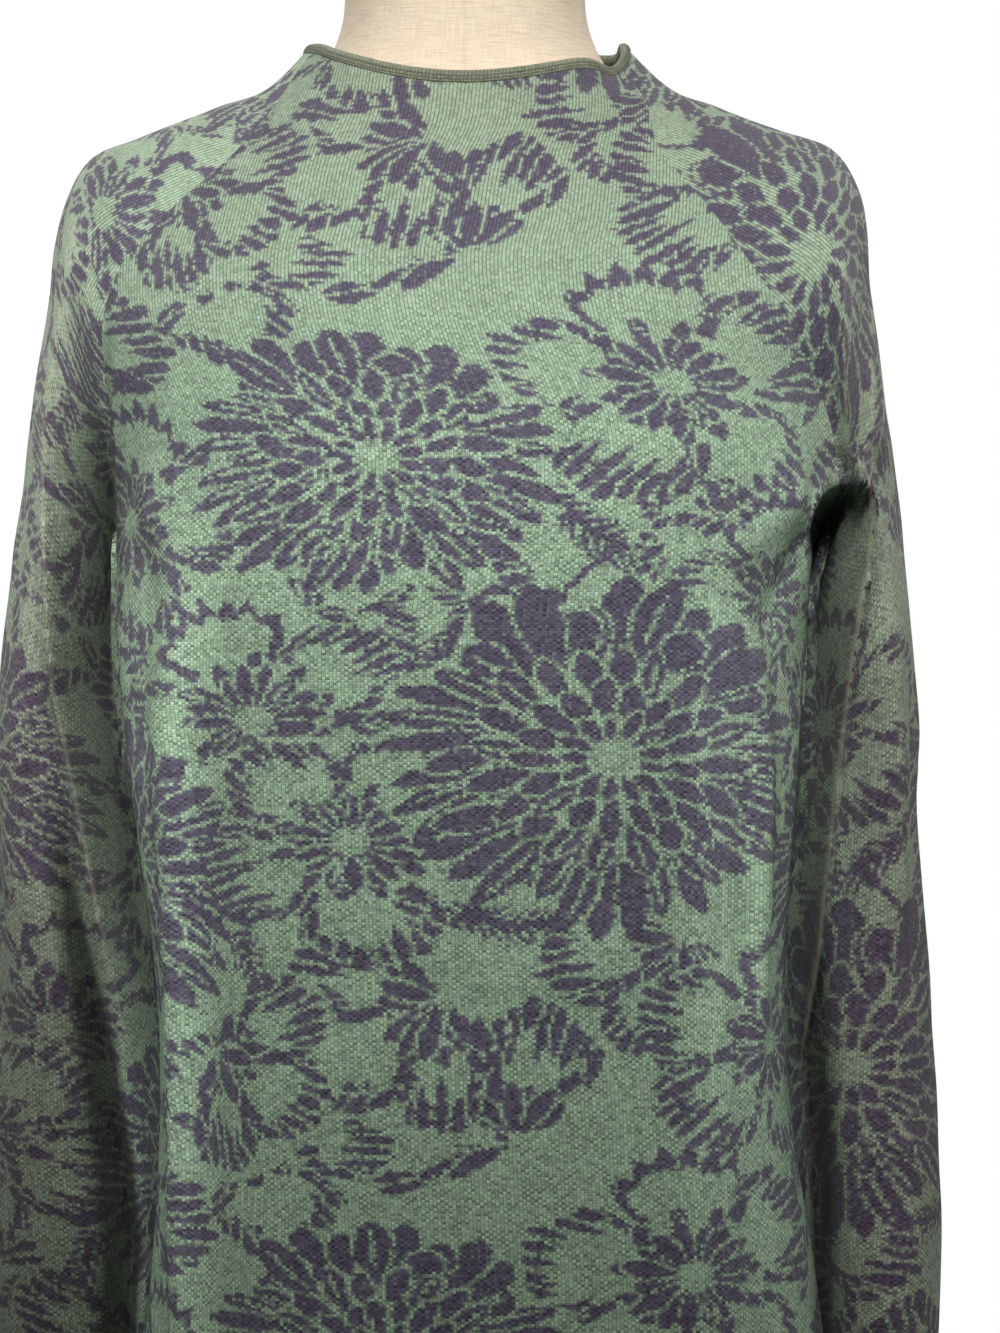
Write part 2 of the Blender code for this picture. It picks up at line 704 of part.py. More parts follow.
def main():
    clear_scene()
    knit = material("knit", KNIT_GREEN, 0.95)
    linen = material("linen", LINEN, 0.9)
    steel = material("steel", STEEL, 0.35, metallic=1.0)
    coat = material("powder_coat", POWDER_COAT, 0.5)
    dress(knit)
    dress_form(linen)
    stand(steel, coat)


main()
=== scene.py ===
import math

import bpy
import numpy as np
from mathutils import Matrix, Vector


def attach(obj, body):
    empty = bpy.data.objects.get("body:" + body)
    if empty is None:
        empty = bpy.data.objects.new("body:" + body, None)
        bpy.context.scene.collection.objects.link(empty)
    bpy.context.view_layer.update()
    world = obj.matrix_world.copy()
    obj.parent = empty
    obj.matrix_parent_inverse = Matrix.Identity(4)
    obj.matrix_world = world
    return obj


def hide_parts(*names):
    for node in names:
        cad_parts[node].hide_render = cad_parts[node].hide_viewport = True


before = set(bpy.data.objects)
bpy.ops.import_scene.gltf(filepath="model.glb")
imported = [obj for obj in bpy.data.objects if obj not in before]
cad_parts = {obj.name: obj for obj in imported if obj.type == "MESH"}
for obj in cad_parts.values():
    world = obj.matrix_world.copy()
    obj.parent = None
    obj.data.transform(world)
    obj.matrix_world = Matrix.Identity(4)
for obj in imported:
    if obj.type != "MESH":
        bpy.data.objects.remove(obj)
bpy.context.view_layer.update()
print("frame loaded:", len(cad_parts), "nodes")

# Lengths below are in millimetres, and become metres when a mesh is made.
mm = 0.001

knit = {
    "wall": 2.2,            # thickness of the jacquard
    "wale": 1.78,           # width of one stitch
    "course": 1.25,         # height of one stitch
    "green": (0.205, 0.305, 0.213),
    "violet": (0.0665, 0.0626, 0.094),
}

mesh = {
    "torsoColumns": 124,    # faces across the front and across the back
    "yokeRows": 84,         # faces from the neck edge down to the underarm
    "skirtRows": 196,       # faces from the underarm down to the hem
    "sleeveColumns": 116,
    "lowerSleeveRows": 122,
    "fine": 300,            # points along half a section before it is spaced out evenly
}


def table(columns, *rows):
    names = columns.split()
    values = np.array(rows, float)
    return {name: values[:, place] for place, name in enumerate(names)}


def rowsOf(columns):
    # the rows of a table, each as a dictionary of its own
    return [dict(zip(columns, row)) for row in zip(*columns.values())]


# The shape of the torso, the same as in the solids: height of the sleeve seam, half-widths,
# how much of them the panel takes, the twist of the seams and the middle of front and back.
hemHeight = 500.0
underarmHeight = 1200.0
yoke = table(
    "height left right share twist front frontZ back backZ power",
    (1431, 78.5, 80.5, 0.948, 0.000, 74, 1411, 66, 1440, 2.0),
    (1415, 93.0, 96.0, 0.893, 0.012, 79, 1396, 76, 1426, 2.0),
    (1379, 134, 134, 0.755, 0.060, 91, 1371, 92, 1396, 2.1),
    (1350, 168, 168, 0.760, 0.070, 103, 1346, 100, 1366, 2.2),
    (1326, 183, 182, 0.805, 0.075, 111, 1325, 104, 1340, 2.3),
    (1300, 187, 187, 0.860, 0.055, 118, 1299, 106, 1310, 2.4),
    (1255, 174, 179, 0.963, 0.000, 127, 1254, 106, 1260, 2.5),
    (1218, 167, 178, 0.996, 0.000, 131, 1218, 105, 1220, 2.5),
    (underarmHeight, 167.5, 173, 1.000, 0.000, 132, underarmHeight, 104, underarmHeight, 2.5),
)
skirt = table(
    "height left right front back power",
    (1176, 168, 167, 132, 102, 2.5),
    (1146, 168, 163, 129, 100, 2.5),
    (1092, 162, 161, 122, 95, 2.5),
    (1046, 155, 157, 117, 90, 2.4),
    (980, 147, 153, 113, 88, 2.4),
    (920, 146, 157, 114, 92, 2.4),
    (850, 150, 168, 119, 101, 2.4),
    (780, 158, 176, 124, 112, 2.4),
    (680, 174, 183, 129, 122, 2.4),
    (580, 185, 189, 133, 129, 2.4),
    (hemHeight, 192, 194, 136, 133, 2.4),
)

# The sleeve's highest line, row for row with the yoke, and its closed sections further down.
crest = table(
    "left leftZ right rightZ wrap",
    (78, 1433, 80, 1435, 62),
    (91, 1420.5, 95, 1419.5, 64),
    (120, 1408, 121, 1406.5, 72),
    (155, 1394, 150, 1395.5, 80),
    (179.5, 1384, 176, 1385.5, 90),
    (192, 1362, 187.5, 1367, 112),
    (198, 1318, 193.5, 1320, 142),
    (207, 1262, 201, 1264, 165),
    (210.5, 1234, 205, 1238, 180),
)
underarmDepth = 68.0
sleeveShapes = {
    -1: table(
        "height x y half depth turn rise",
        (1165, 192.0, 4, 22, 67, -4, 26),
        (1105, 193.8, 14, 27.5, 62, -10, 18),
        (1045, 191.5, 27, 34, 57, -13, 12),
        (990, 190.0, 36, 39, 53, -13, 8),
        (930, 190.0, 40, 42, 50, -12, 6),
        (870, 190.5, 40, 42, 47, -10, 4),
        (815, 192.0, 38, 38, 44, -8, 2),
        (776, 194.0, 36, 32, 40, -6, 0),
    ),
    1: table(
        "height x y half depth turn rise",
        (1172, 188.0, 3, 19.5, 69, -4, 24),
        (1110, 188.6, 14, 23.5, 63, -11, 16),
        (1050, 188.0, 26, 28.5, 58, -14, 10),
        (990, 189.8, 34, 33.8, 53, -14, 6),
        (930, 193.0, 38, 35.2, 49, -12, 4),
        (870, 198.5, 40, 33, 46, -10, 3),
        (815, 201.0, 38, 29, 43, -8, 1),
        (776, 202.5, 36, 26, 40, -6, 0),
    ),
}


def curveThrough(knots, values, where):
    # smooth curves through values at knots, read at where
    knots = np.asarray(knots, float)
    values = np.asarray(values, float)
    where = np.asarray(where, float)
    each = (-1,) + (1,) * (values.ndim - 1)
    steps = np.diff(knots)
    rates = np.diff(values, axis=0) / steps.reshape(each)
    before = steps[:-1].reshape(each)
    after = steps[1:].reshape(each)
    slopes = np.empty_like(values)
    slopes[0] = rates[0]
    slopes[-1] = rates[-1]
    slopes[1:-1] = (after * rates[:-1] + before * rates[1:]) / (before + after)
    span = np.clip(np.searchsorted(knots, where, side="right") - 1, 0, len(steps) - 1)
    step = steps[span].reshape(each)
    t = ((where - knots[span]) / steps[span]).reshape(each)
    start = (2 * t**3 - 3 * t**2 + 1) * values[span] + (t**3 - 2 * t**2 + t) * slopes[span] * step
    end = (3 * t**2 - 2 * t**3) * values[span + 1] + (t**3 - t**2) * slopes[span + 1] * step
    return start + end


def pathLengths(points):
    # how far along a line of points each of them lies
    steps = np.linalg.norm(np.diff(points, axis=0), axis=1)
    return np.concatenate([[0.0], np.cumsum(steps)])


def spaced(points, count):
    # the same line through count + 1 points at even distances
    along = pathLengths(points)
    wanted = np.linspace(0.0, along[-1], count + 1)
    return np.stack([np.interp(wanted, along, points[:, axis]) for axis in range(3)], axis=1)


def unit(vectors):
    return vectors / np.maximum(np.linalg.norm(vectors, axis=-1, keepdims=True), 1e-9)


def fade(value, low, high):
    t = np.clip((value - low) / (high - low), 0.0, 1.0)
    return t * t * (3 - 2 * t)


def halfSection(reach, depth, power, share):
    last = math.asin(min(share, 1.0) ** (power / 2))
    angle = np.linspace(0.0, last, mesh["fine"])
    return reach * np.sin(angle) ** (2 / power), depth * np.cos(angle) ** (2 / power)


def torsoRow(row, side):
    # one row across the front (side -1) or the back (+1), left edge to right edge
    depth, middle = (row["front"], row["frontZ"]) if side < 0 else (row["back"], row["backZ"])
    halves = []
    for hand, reach in ((-1, row["left"]), (1, row["right"])):
        share = row["share"] + row["twist"] * hand * side
        x, y = halfSection(reach, depth, row["power"], share)
        z = middle + (row["height"] - middle) * (x / x[-1]) ** 2
        halves.append(np.stack([hand * x, side * y, z], axis=1))
    return np.concatenate([halves[0][:0:-1], halves[1]])


yokeSections = rowsOf(yoke)
skirtSections = [
    dict(row, share=1.0, twist=0.0, frontZ=row["height"], backZ=row["height"]) for row in rowsOf(skirt)
]
# how far down the front's raglan seam each section of the yoke lies
seamKnots = pathLengths(np.array([torsoRow(row, -1)[0] for row in yokeSections]))
yokePlaces = np.linspace(0.0, seamKnots[-1], mesh["yokeRows"] + 1)


def raglanSeam(side, hand):
    end = 0 if hand < 0 else -1
    points = np.array([torsoRow(row, side)[end] for row in yokeSections])
    return curveThrough(seamKnots, points, yokePlaces)


def pinned(grid, seam, first):
    # draws one edge of a panel onto the seam, and the cloth beside it a little less
    share = np.linspace(0.0, 1.0, grid.shape[1])
    pull = 1 - fade(share if first else 1 - share, 0.0, 0.3)
    moved = seam - grid[:len(seam), 0 if first else -1]
    grid[:len(seam)] += moved[:, None] * pull[None, :, None]
    return grid


def torsoGrid(side):
    rows = np.array([
        spaced(torsoRow(row, side), mesh["torsoColumns"]) for row in yokeSections + skirtSections
    ])
    knots = np.concatenate([seamKnots, seamKnots[-1] + underarmHeight - skirt["height"]])
    lower = np.linspace(yokePlaces[-1], knots[-1], mesh["skirtRows"] + 1)[1:]
    grid = curveThrough(knots, rows, np.concatenate([yokePlaces, lower]))
    for hand in (-1, 1):
        grid = pinned(grid, raglanSeam(side, hand), hand < 0)
    return grid


def wrappedRow(index, hand):
    # an open sleeve row: front seam, over the crest, back seam
    name = "left" if hand < 0 else "right"
    end = 0 if hand < 0 else -1
    front, back = (torsoRow(yokeSections[index], side)[end] for side in (-1, 1))
    wrap = math.radians(crest["wrap"][index])
    top = np.array([hand * crest[name][index], (front[1] + back[1]) / 2, crest[name + "Z"][index]])
    under = index == len(crest["wrap"]) - 1
    quarters = []
    for seam, sign in ((front, -1), (back, 1)):
        depth = underarmDepth if under else abs(seam[1] - top[1]) / math.sin(wrap)
        foot = np.array([seam[0], top[1], seam[2]])
        fall = (top - foot) / (1 - math.cos(wrap))
        angle = np.linspace(0.0, wrap, mesh["fine"])[:, None]
        swing = np.array([0.0, sign * depth, 0.0])
        quarters.append(top - fall * (1 - np.cos(angle)) + swing * np.sin(angle))
    return np.concatenate([quarters[0][::-1], quarters[1][1:]])


def closedRow(row, hand):
    turn = math.radians(row["turn"])
    out = np.array([hand * math.cos(turn), -math.sin(turn), 0.0])
    ahead = np.array([-hand * math.sin(turn), -math.cos(turn), 0.0])
    angle = np.linspace(math.pi, -math.pi, 2 * mesh["fine"] - 1)[:, None]
    centre = np.array([hand * row["x"], row["y"], row["height"]])
    lift = np.array([0.0, 0.0, row["rise"] / 2])
    return centre + np.cos(angle) * (row["half"] * out + lift) + np.sin(angle) * row["depth"] * ahead


def sleeveGrid(hand):
    columns = mesh["sleeveColumns"]
    openRows = [spaced(wrappedRow(i, hand), columns) for i in range(len(crest["wrap"]))]
    rings = [spaced(closedRow(row, hand), columns) for row in rowsOf(sleeveShapes[hand])]
    rows = np.array(openRows + rings)
    below = pathLengths(rows[len(openRows) - 1:].mean(axis=1))[1:]
    knots = np.concatenate([seamKnots, seamKnots[-1] + below])
    lower = np.linspace(yokePlaces[-1], knots[-1], mesh["lowerSleeveRows"] + 1)[1:]
    grid = curveThrough(knots, rows, np.concatenate([yokePlaces, lower]))
    for side, first in ((-1, True), (1, False)):
        grid = pinned(grid, raglanSeam(side, hand), first)
    return grid


def gridNormals(grid, closedFrom=None):
    down = np.gradient(grid, axis=0)
    across = np.gradient(grid, axis=1)
    if closedFrom is not None:
        joined = (grid[closedFrom:, 1] - grid[closedFrom:, -2]) / 2
        across[closedFrom:, 0] = joined
        across[closedFrom:, -1] = joined
        down[closedFrom, 0] = grid[closedFrom + 1, 0] - grid[closedFrom, 0]
        down[closedFrom, -1] = down[closedFrom, 0]
    return unit(np.cross(down, across))


def edgeStrip(grid, first, rows, reach):
    # the columns beside one edge, counted from that edge inwards
    return grid[:rows, :reach + 1] if first else grid[:rows, :-reach - 2:-1]


sleeveSeams = (
    ("dressFront", True, "sleeveLeft", True),
    ("dressFront", False, "sleeveRight", True),
    ("dressBack", True, "sleeveLeft", False),
    ("dressBack", False, "sleeveRight", False),
)


easing = {
    "reach": 16,            # columns eased on each side of a seam
    "rounds": 70,
    "share": 0.5,
    "taper": 14,            # rows above the underarm over which it stops
}


def easeSeams(panels):
    # the knit runs on evenly over the four sleeve seams, with no corner there
    rows, reach = mesh["yokeRows"], easing["reach"]
    share = easing["share"] * (1 - fade(np.arange(rows), rows - easing["taper"], rows - 1))
    share = share[:, None, None]
    for torso, torsoFirst, sleeve, sleeveFirst in sleeveSeams:
        body = edgeStrip(panels[torso]["grid"], torsoFirst, rows, reach)
        arm = edgeStrip(panels[sleeve]["grid"], sleeveFirst, rows, reach)
        strip = np.concatenate([body[:, ::-1], arm[:, 1:]], axis=1)
        for _ in range(easing["rounds"]):
            middle = (strip[:, :-2] + strip[:, 2:]) / 2
            strip[:, 1:-1] += share * (middle - strip[:, 1:-1])
        body[:] = strip[:, reach::-1]
        arm[:] = strip[:, reach:]


def faceNormals(panels):
    # outward normals, made equal where two panels share a seam
    rows = mesh["yokeRows"]
    for panel in panels.values():
        panel["normals"] = panel["outward"] * gridNormals(panel["grid"], panel["closedFrom"])
    front, back = panels["dressFront"]["normals"], panels["dressBack"]["normals"]
    for column in (0, -1):
        shared = unit(front[rows:, column] + back[rows:, column])
        front[rows:, column] = shared
        back[rows:, column] = shared
    for torso, torsoFirst, sleeve, sleeveFirst in sleeveSeams:
        body = edgeStrip(panels[torso]["normals"], torsoFirst, rows, 0)
        arm = edgeStrip(panels[sleeve]["normals"], sleeveFirst, rows, 0)
        shared = unit(body + arm)
        body[:] = shared
        arm[:] = shared


def cloth():
    # every panel's points and outward normals, with the points of shared seams made equal
    rows = mesh["yokeRows"]
    panels = {}
    for name, side, outward in (("dressFront", -1, 1), ("dressBack", 1, -1)):
        panels[name] = {"kind": "torso", "side": side, "outward": outward, "grid": torsoGrid(side)}
        panels[name]["closedFrom"] = None
    for name, hand in (("sleeveLeft", -1), ("sleeveRight", 1)):
        panels[name] = {"kind": "sleeve", "side": hand, "outward": hand, "grid": sleeveGrid(hand)}
        panels[name]["closedFrom"] = rows
    panels["dressBack"]["grid"][rows:, [0, -1]] = panels["dressFront"]["grid"][rows:, [0, -1]]
    for torso, torsoFirst, sleeve, sleeveFirst in sleeveSeams:
        seam = edgeStrip(panels[torso]["grid"], torsoFirst, rows, 0)
        edgeStrip(panels[sleeve]["grid"], sleeveFirst, rows, 0)[:] = seam
    easeSeams(panels)
    faceNormals(panels)
    return panels


def runningSum(steps):
    # the sum of all steps from the first column to each column
    return np.concatenate([np.zeros((len(steps), 1)), np.cumsum(steps, axis=1)], axis=1)


def flatTorso(panel):
    # how far across and down the cloth each point lies, in millimetres of flat knitting
    grid, normals = panel["grid"], panel["normals"]
    middle = grid.shape[1] // 2
    step = np.diff(grid, axis=1)
    normal = unit(normals[:, 1:] + normals[:, :-1])
    level = unit(np.cross(np.array([0.0, 0.0, 1.0]), normal)) * -panel["side"]
    level *= np.where(level[..., :1] < 0, -1.0, 1.0)
    fall = unit(np.cross(level, normal))
    fall *= -np.sign(fall[..., 2:])
    across = runningSum((step * level).sum(axis=2))
    down = runningSum((step * fall).sum(axis=2))
    across -= across[:, middle:middle + 1]
    down += pathLengths(grid[:, middle])[:, None] - down[:, middle:middle + 1]
    return across, down


def flatSleeve(panel):
    # courses follow the sleeve's rows, and wales count from its highest line
    grid = panel["grid"]
    middle = grid.shape[1] // 2
    across = runningSum(np.linalg.norm(np.diff(grid, axis=1), axis=2))
    across -= across[:, middle:middle + 1]
    line = np.linalg.norm(np.diff(grid, axis=0), axis=2).mean(axis=1)
    down = np.concatenate([[0.0], np.cumsum(line)])
    return across, np.repeat(down[:, None], grid.shape[1], axis=1)


# Creases of the knit, as soft ridges, or troughs where depth is below nought. Each runs
# through three points, given as x and z on the side of the piece that faces that way.
creases = {
    "dressFront": table(
        "x1 z1 x2 z2 x3 z3 depth width",
        (-132, 1196, -135, 1000, -135, 770, 7, 9),
        (-118, 1150, -120, 1010, -116, 840, -3, 11),
        (131, 1178, 136, 1060, 135, 930, 7, 9),
        (116, 1150, 121, 1060, 119, 960, -3, 11),
        (-72, 770, -84, 620, -96, 500, 7, 34),
        (28, 750, 30, 620, 30, 500, 6, 34),
        (112, 780, 122, 620, 128, 500, 7, 34),
        (-152, 1236, -138, 1206, -112, 1186, 2.5, 13),
        (-154, 1206, -144, 1176, -126, 1150, -2, 12),
        (158, 1232, 140, 1206, 112, 1190, 4, 11),
        (163, 1206, 150, 1180, 134, 1150, -4, 10),
        (-96, 1330, -60, 1300, -18, 1290, 1.6, 14),
        (104, 1322, 66, 1296, 26, 1290, 1.6, 14),
        (-60, 1010, -20, 985, 30, 980, -2.4, 16),
        (84, 1030, 50, 1004, 10, 1000, 2.0, 15),
        (-100, 960, -70, 940, -30, 936, 1.8, 16),
        (96, 930, 104, 860, 100, 800, 3, 20),
        (-88, 900, -92, 850, -84, 790, 2.6, 18),
    ),
    "dressBack": table(
        "x1 z1 x2 z2 x3 z3 depth width",
        (-112, 790, -120, 620, -128, 500, 10, 30),
        (-20, 760, -24, 620, -30, 500, 9, 30),
        (84, 800, 90, 620, 98, 500, 10, 28),
        (60, 1090, 44, 990, 20, 890, -8, 26),
        (-60, 1070, -44, 990, -20, 905, -7, 24),
        (-120, 1160, -110, 1040, -112, 900, 8, 14),
        (124, 1150, 116, 1050, 116, 930, 8, 15),
        (-150, 1222, -132, 1196, -96, 1176, 6, 12),
        (152, 1226, 134, 1200, 104, 1184, 6, 12),
        (-70, 1002, -20, 984, 34, 990, 4, 13),
        (64, 972, 20, 956, -30, 962, -4, 13),
        (-96, 1330, -54, 1312, -10, 1308, 1.8, 14),
    ),
    # on a sleeve x is how far round it the point lies, from 0 at the underarm seam over the
    # front to 1 at the seam again
    "sleeveLeft": table(
        "x1 z1 x2 z2 x3 z3 depth width",
        (0.20, 900, 0.16, 850, 0.13, 785, 4, 11),
        (0.38, 1110, 0.36, 1020, 0.33, 930, -3, 12),
        (0.44, 1230, 0.42, 1150, 0.41, 1060, 2.5, 14),
        (0.48, 1000, 0.44, 940, 0.40, 890, 3, 14),
        (0.74, 1160, 0.72, 1050, 0.70, 940, -9, 14),
        (0.66, 1060, 0.68, 960, 0.70, 850, 4, 13),
        (0.84, 1120, 0.80, 1040, 0.78, 960, 6, 13),
        (0.56, 960, 0.62, 930, 0.70, 915, 2.6, 11),
        (0.30, 1362, 0.34, 1330, 0.40, 1300, -2, 11),
    ),
    "sleeveRight": table(
        "x1 z1 x2 z2 x3 z3 depth width",
        (0.36, 1150, 0.33, 1050, 0.30, 960, -3, 12),
        (0.30, 940, 0.27, 870, 0.25, 800, 3, 13),
        (0.44, 1240, 0.43, 1160, 0.42, 1070, 2.5, 14),
        (0.72, 1130, 0.74, 1000, 0.76, 870, -9, 14),
        (0.82, 1130, 0.80, 1040, 0.80, 950, 6, 13),
        (0.62, 1040, 0.66, 950, 0.68, 850, 3.5, 13),
        (0.60, 930, 0.66, 905, 0.74, 890, 2.6, 11),
        (0.30, 1362, 0.33, 1335, 0.38, 1300, -2, 11),
    ),
}


def arc(a, b, c, count=36):
    # a smooth line from a to c, drawn towards b
    t = np.linspace(0, 1, count)[:, None]
    a, b, c = (np.asarray(point, float) for point in (a, b, c))
    return (1 - t) ** 2 * a + 2 * t * (1 - t) * b + t * t * c


def nearestPlace(panel, x, z):
    # the flat place of the panel's own point that is nearest to x and z
    grid = panel["grid"]
    if panel["kind"] == "sleeve":
        column = int(round(x * (grid.shape[1] - 1)))
        row = int(np.abs(grid[:, column, 2] - z).argmin())
    else:
        far = (grid[..., 0] - x) ** 2 + (grid[..., 2] - z) ** 2
        row, column = np.unravel_index(far.argmin(), far.shape)
    return np.array([panel["across"][row, column], panel["down"][row, column]])


def creased(name, panel):
    # how far the creases lift each point; each crease fades out over a quarter of its length
    lift = np.zeros(panel["across"].shape)
    for fold in rowsOf(creases[name]):
        a, b, c = (nearestPlace(panel, fold["x" + n], fold["z" + n]) for n in "123")
        line = arc(a, 2 * b - (a + c) / 2, c, 40)
        far = np.hypot(panel["across"][..., None] - line[:, 0], panel["down"][..., None] - line[:, 1])
        place = far.argmin(axis=2) / (len(line) - 1)
        ends = fade(place, 0.0, 0.25) * (1 - fade(place, 0.75, 1.0))
        reach = far.min(axis=2) / fold["width"]
        lift += fold["depth"] * np.exp(-reach**2) * ends
    return lift


# The folds that the sleeves hang in, from height to height: how far from the middle the fold's
# edge lies, how proud it stands, where the hollow beside the body begins and how deep it is,
# the painted highlight along the fold's edge and the painted shade in the hollow.
hangingFolds = {
    -1: table(
        "height edge proud step inner back bow pale dark",
        (1335, 184.0, 0, 0, 162, 0, 1.3, 0.00, 0.00),
        (1300, 189.0, 4, 3, 165, 6, 1.3, 0.05, 0.00),
        (1260, 195.0, 7, 5, 167, 20, 1.3, 0.20, 0.12),
        (1232, 196.0, 8, 6, 167, 36, 1.1, 0.25, 0.32),
        (1175, 194.5, 8, 7, 167, 60, 0.9, 0.35, 0.50),
        (1130, 192.5, 8, 7, 165, 66, 0.8, 0.35, 0.52),
        (1085, 185.0, 8, 7, 161, 62, 0.8, 0.35, 0.56),
        (1055, 180.0, 8, 6, 158, 54, 0.8, 0.32, 0.58),
        (1020, 174.0, 8, 5, 153, 42, 0.9, 0.28, 0.60),
        (975, 165.0, 5, 3, 150, 18, 1.0, 0.10, 0.55),
        (920, 156.0, 0, 0, 148, 0, 1.0, 0.00, 0.00),
    ),
    1: table(
        "height edge proud step inner back bow pale dark",
        (1340, 175.0, 0, 0, 160, 0, 0.45, 0.00, 0.00),
        (1317, 176.0, 5, 5, 160, 0, 0.45, 0.10, 0.00),
        (1274, 176.5, 7, 9, 161, 0, 0.45, 0.20, 0.00),
        (1243, 178.6, 8, 11, 162, 40, 0.45, 0.30, 0.20),
        (1231, 186.0, 9, 12, 162, 50, 0.45, 0.45, 0.25),
        (1220, 189.5, 9, 12, 162, 56, 0.45, 0.60, 0.30),
        (1208, 190.3, 9, 12, 163, 58, 0.45, 0.70, 0.30),
        (1190, 188.5, 9, 11, 165, 58, 0.5, 0.70, 0.35),
        (1166, 184.5, 9, 10, 165, 54, 0.55, 0.65, 0.40),
        (1115, 179.5, 8, 9, 162, 46, 0.6, 0.50, 0.50),
        (1060, 174.0, 8, 8, 158, 38, 0.6, 0.40, 0.55),
        (1000, 169.7, 7, 6, 154, 26, 0.6, 0.30, 0.55),
        (950, 163.0, 0, 0, 154, 6, 0.6, 0.10, 0.50),
        (920, 160.0, 0, 0, 154, 0, 0.6, 0.00, 0.00),
    ),
}
# The roof over the hollow at the right underarm: it rises from the body towards the fold's edge.
underarmRoof = {
    "hand": 1,
    "start": 161.0,         # how far out it starts
    "top": 1224.0,          # height of its outer end
    "rise": 22.0,           # how much lower it starts
    "bend": 4.5,            # how soon it levels out
    "lip": (-1.0, 6.0),     # the hollow begins over this height below it
    "webAbove": 3.0,        # the middle of the web of cloth above it
    "proud": 7.0,
    "width": 6.0,
    "webFrom": (158.0, 166.0),
    "webTo": (-4.0, 0.0),   # beside the fold's edge
}
# A spot of painted shade at the left underarm, where the cloth turns in.
underarmSpot = {
    "hand": -1,
    "place": 165.0,
    "height": 1194.0,
    "across": 3.0,
    "along": 12.0,
    "dark": 0.55,
}
# Narrow grooves further down the sleeves, and the fall of the cloth outside the right fold.
# Each groove is also darkened with painted shade, the more the deeper it is.
grooves = {
    -1: table(
        "height place deep width",
        (1082, 191.0, 0, 6),
        (1050, 190.5, 9, 6),
        (1015, 187.0, 14, 6.5),
        (990, 182.5, 18, 7),
        (960, 176.5, 22, 7),
        (930, 172.5, 25, 7),
        (900, 168.0, 27, 7),
        (860, 164.0, 27, 7),
        (827, 166.0, 26, 7),
        (776, 168.0, 22, 8),
    ),
    1: table(
        "height place deep width",
        (1060, 172.0, 0, 6),
        (999, 170.0, 10, 6),
        (952, 168.0, 20, 7),
        (909, 170.6, 22, 7),
        (827, 173.0, 22, 7),
        (776, 175.0, 18, 8),
    ),
}


def readAt(rows, heights):
    order = np.argsort(rows["height"])
    low, high = rows["height"].min(), rows["height"].max()
    where = np.clip(heights, low, high)
    return {key: np.interp(where, rows["height"][order], column[order]) for key, column in rows.items()}


# The body's front runs out flat to these ridges, then turns in sharply under the arms. The front
# rising to each ridge gets painted light by its push, and the band beyond it by the light column.
sideRidges = {
    -1: table(
        "height place push light",
        (1205, 134, 0, 0.0),
        (1165, 134, 9, 0.2),
        (1100, 135, 13, 0.8),
        (1011, 136, 13, 0.7),
        (900, 136, 12, 0.6),
        (780, 134, 9, 0.4),
        (700, 132, 0, 0.0),
    ),
    1: table(
        "height place push light",
        (1190, 121, 0, 0.0),
        (1150, 121, 7, 0.1),
        (1080, 121, 10, 0.3),
        (968, 120, 9, 0.35),
        (900, 122, 6, 0.3),
        (780, 126, 4, 0.2),
        (700, 128, 0, 0.0),
    ),
}
# How much painted shade darkens the sleeves' cloth against the body's, from height to height,
# with painted light where it is below nought, and the share of that which is kept between the
# groove and the body.
sleeveShade = {
    -1: table(
        "height dark kept",
        (1340, -0.26, 1),
        (1220, -0.22, 1),
        (1150, 0.0, 1),
        (1060, 0.08, 1),
        (980, 0.44, -0.1),
        (820, 0.56, -0.2),
    ),
    1: table(
        "height dark kept",
        (1340, 0.0, 1),
        (1240, 0.12, 1),
        (1160, 0.24, 1),
        (1000, 0.26, 1),
        (900, 0.22, 1),
    ),
}


# How the inner side of each sleeve tucks in behind the body, and where that fades in and out.
tuck = {
    "inwards": 4.5,
    "aside": (172.0, 182.0),
    "depthFrom": (-8.0, 6.0),
    "depthTo": (28.0, 52.0),
    "heightFrom": (1040.0, 1090.0),
    "heightTo": (1172.0, 1192.0),
}
foldShape = {
    "ahead": (-6.0, 30.0),      # how far in front of the middle the cloth begins to move
    "foot": 20.0,               # height over which a fold fades out at its foot
    "edge": 5.0,                # roundness of a fold's edge
    "drop": (0.5, 5.0),         # outside the edge the cloth drops back over this distance
    "dropEnd": (8.0, 26.0),     # and comes forward again over this one
    "wall": 4.0,                # half the width of the hollow's wall beside the body
    "hollowPaintedShade": (1.2, 0.6),   # painted shade in the hollow, and how evenly it is spread
    "groovePaintedShade": (17.0, 1.5),  # the depth at which a groove's painted shade is darkest, and how narrowly
    "behindGroove": (-10.0, -2.0),
    "ridgeRise": 30.0,          # width over which the body's front rises to its ridge
    "ridgeTurn": 11.0,          # and over which it turns in beyond it
    "ridgePaintedLight": 24.0,        # the push at which a ridge's painted light is brightest
    # how the painted light on the band beyond a ridge fades out over the hollow
    "bandSpread": 0.3,
}


def tuckSleeves(panels):
    for panel in panels.values():
        if panel["kind"] == "sleeve":
            x, y, z = np.moveaxis(panel["grid"], -1, 0)
            share = 1 - fade(panel["side"] * x, *tuck["aside"])
            share = share * fade(y, *tuck["depthFrom"]) * (1 - fade(y, *tuck["depthTo"]))
            share = share * fade(z, *tuck["heightFrom"]) * (1 - fade(z, *tuck["heightTo"]))
            panel["grid"][..., 0] -= panel["side"] * tuck["inwards"] * share


def roofed(hollow, off, beside, z):
    # the hollow under its roof, and the web of cloth that the roof pulls forwards
    run = np.maximum(off - underarmRoof["start"], 0.0) / underarmRoof["bend"]
    under = underarmRoof["top"] - underarmRoof["rise"] * np.exp(-run) - z
    web = np.exp(-(((under + underarmRoof["webAbove"]) / underarmRoof["width"]) ** 2))
    web = web * fade(off, *underarmRoof["webFrom"]) * (1 - fade(beside, *underarmRoof["webTo"]))
    return hollow * fade(under, *underarmRoof["lip"]), underarmRoof["proud"] * web


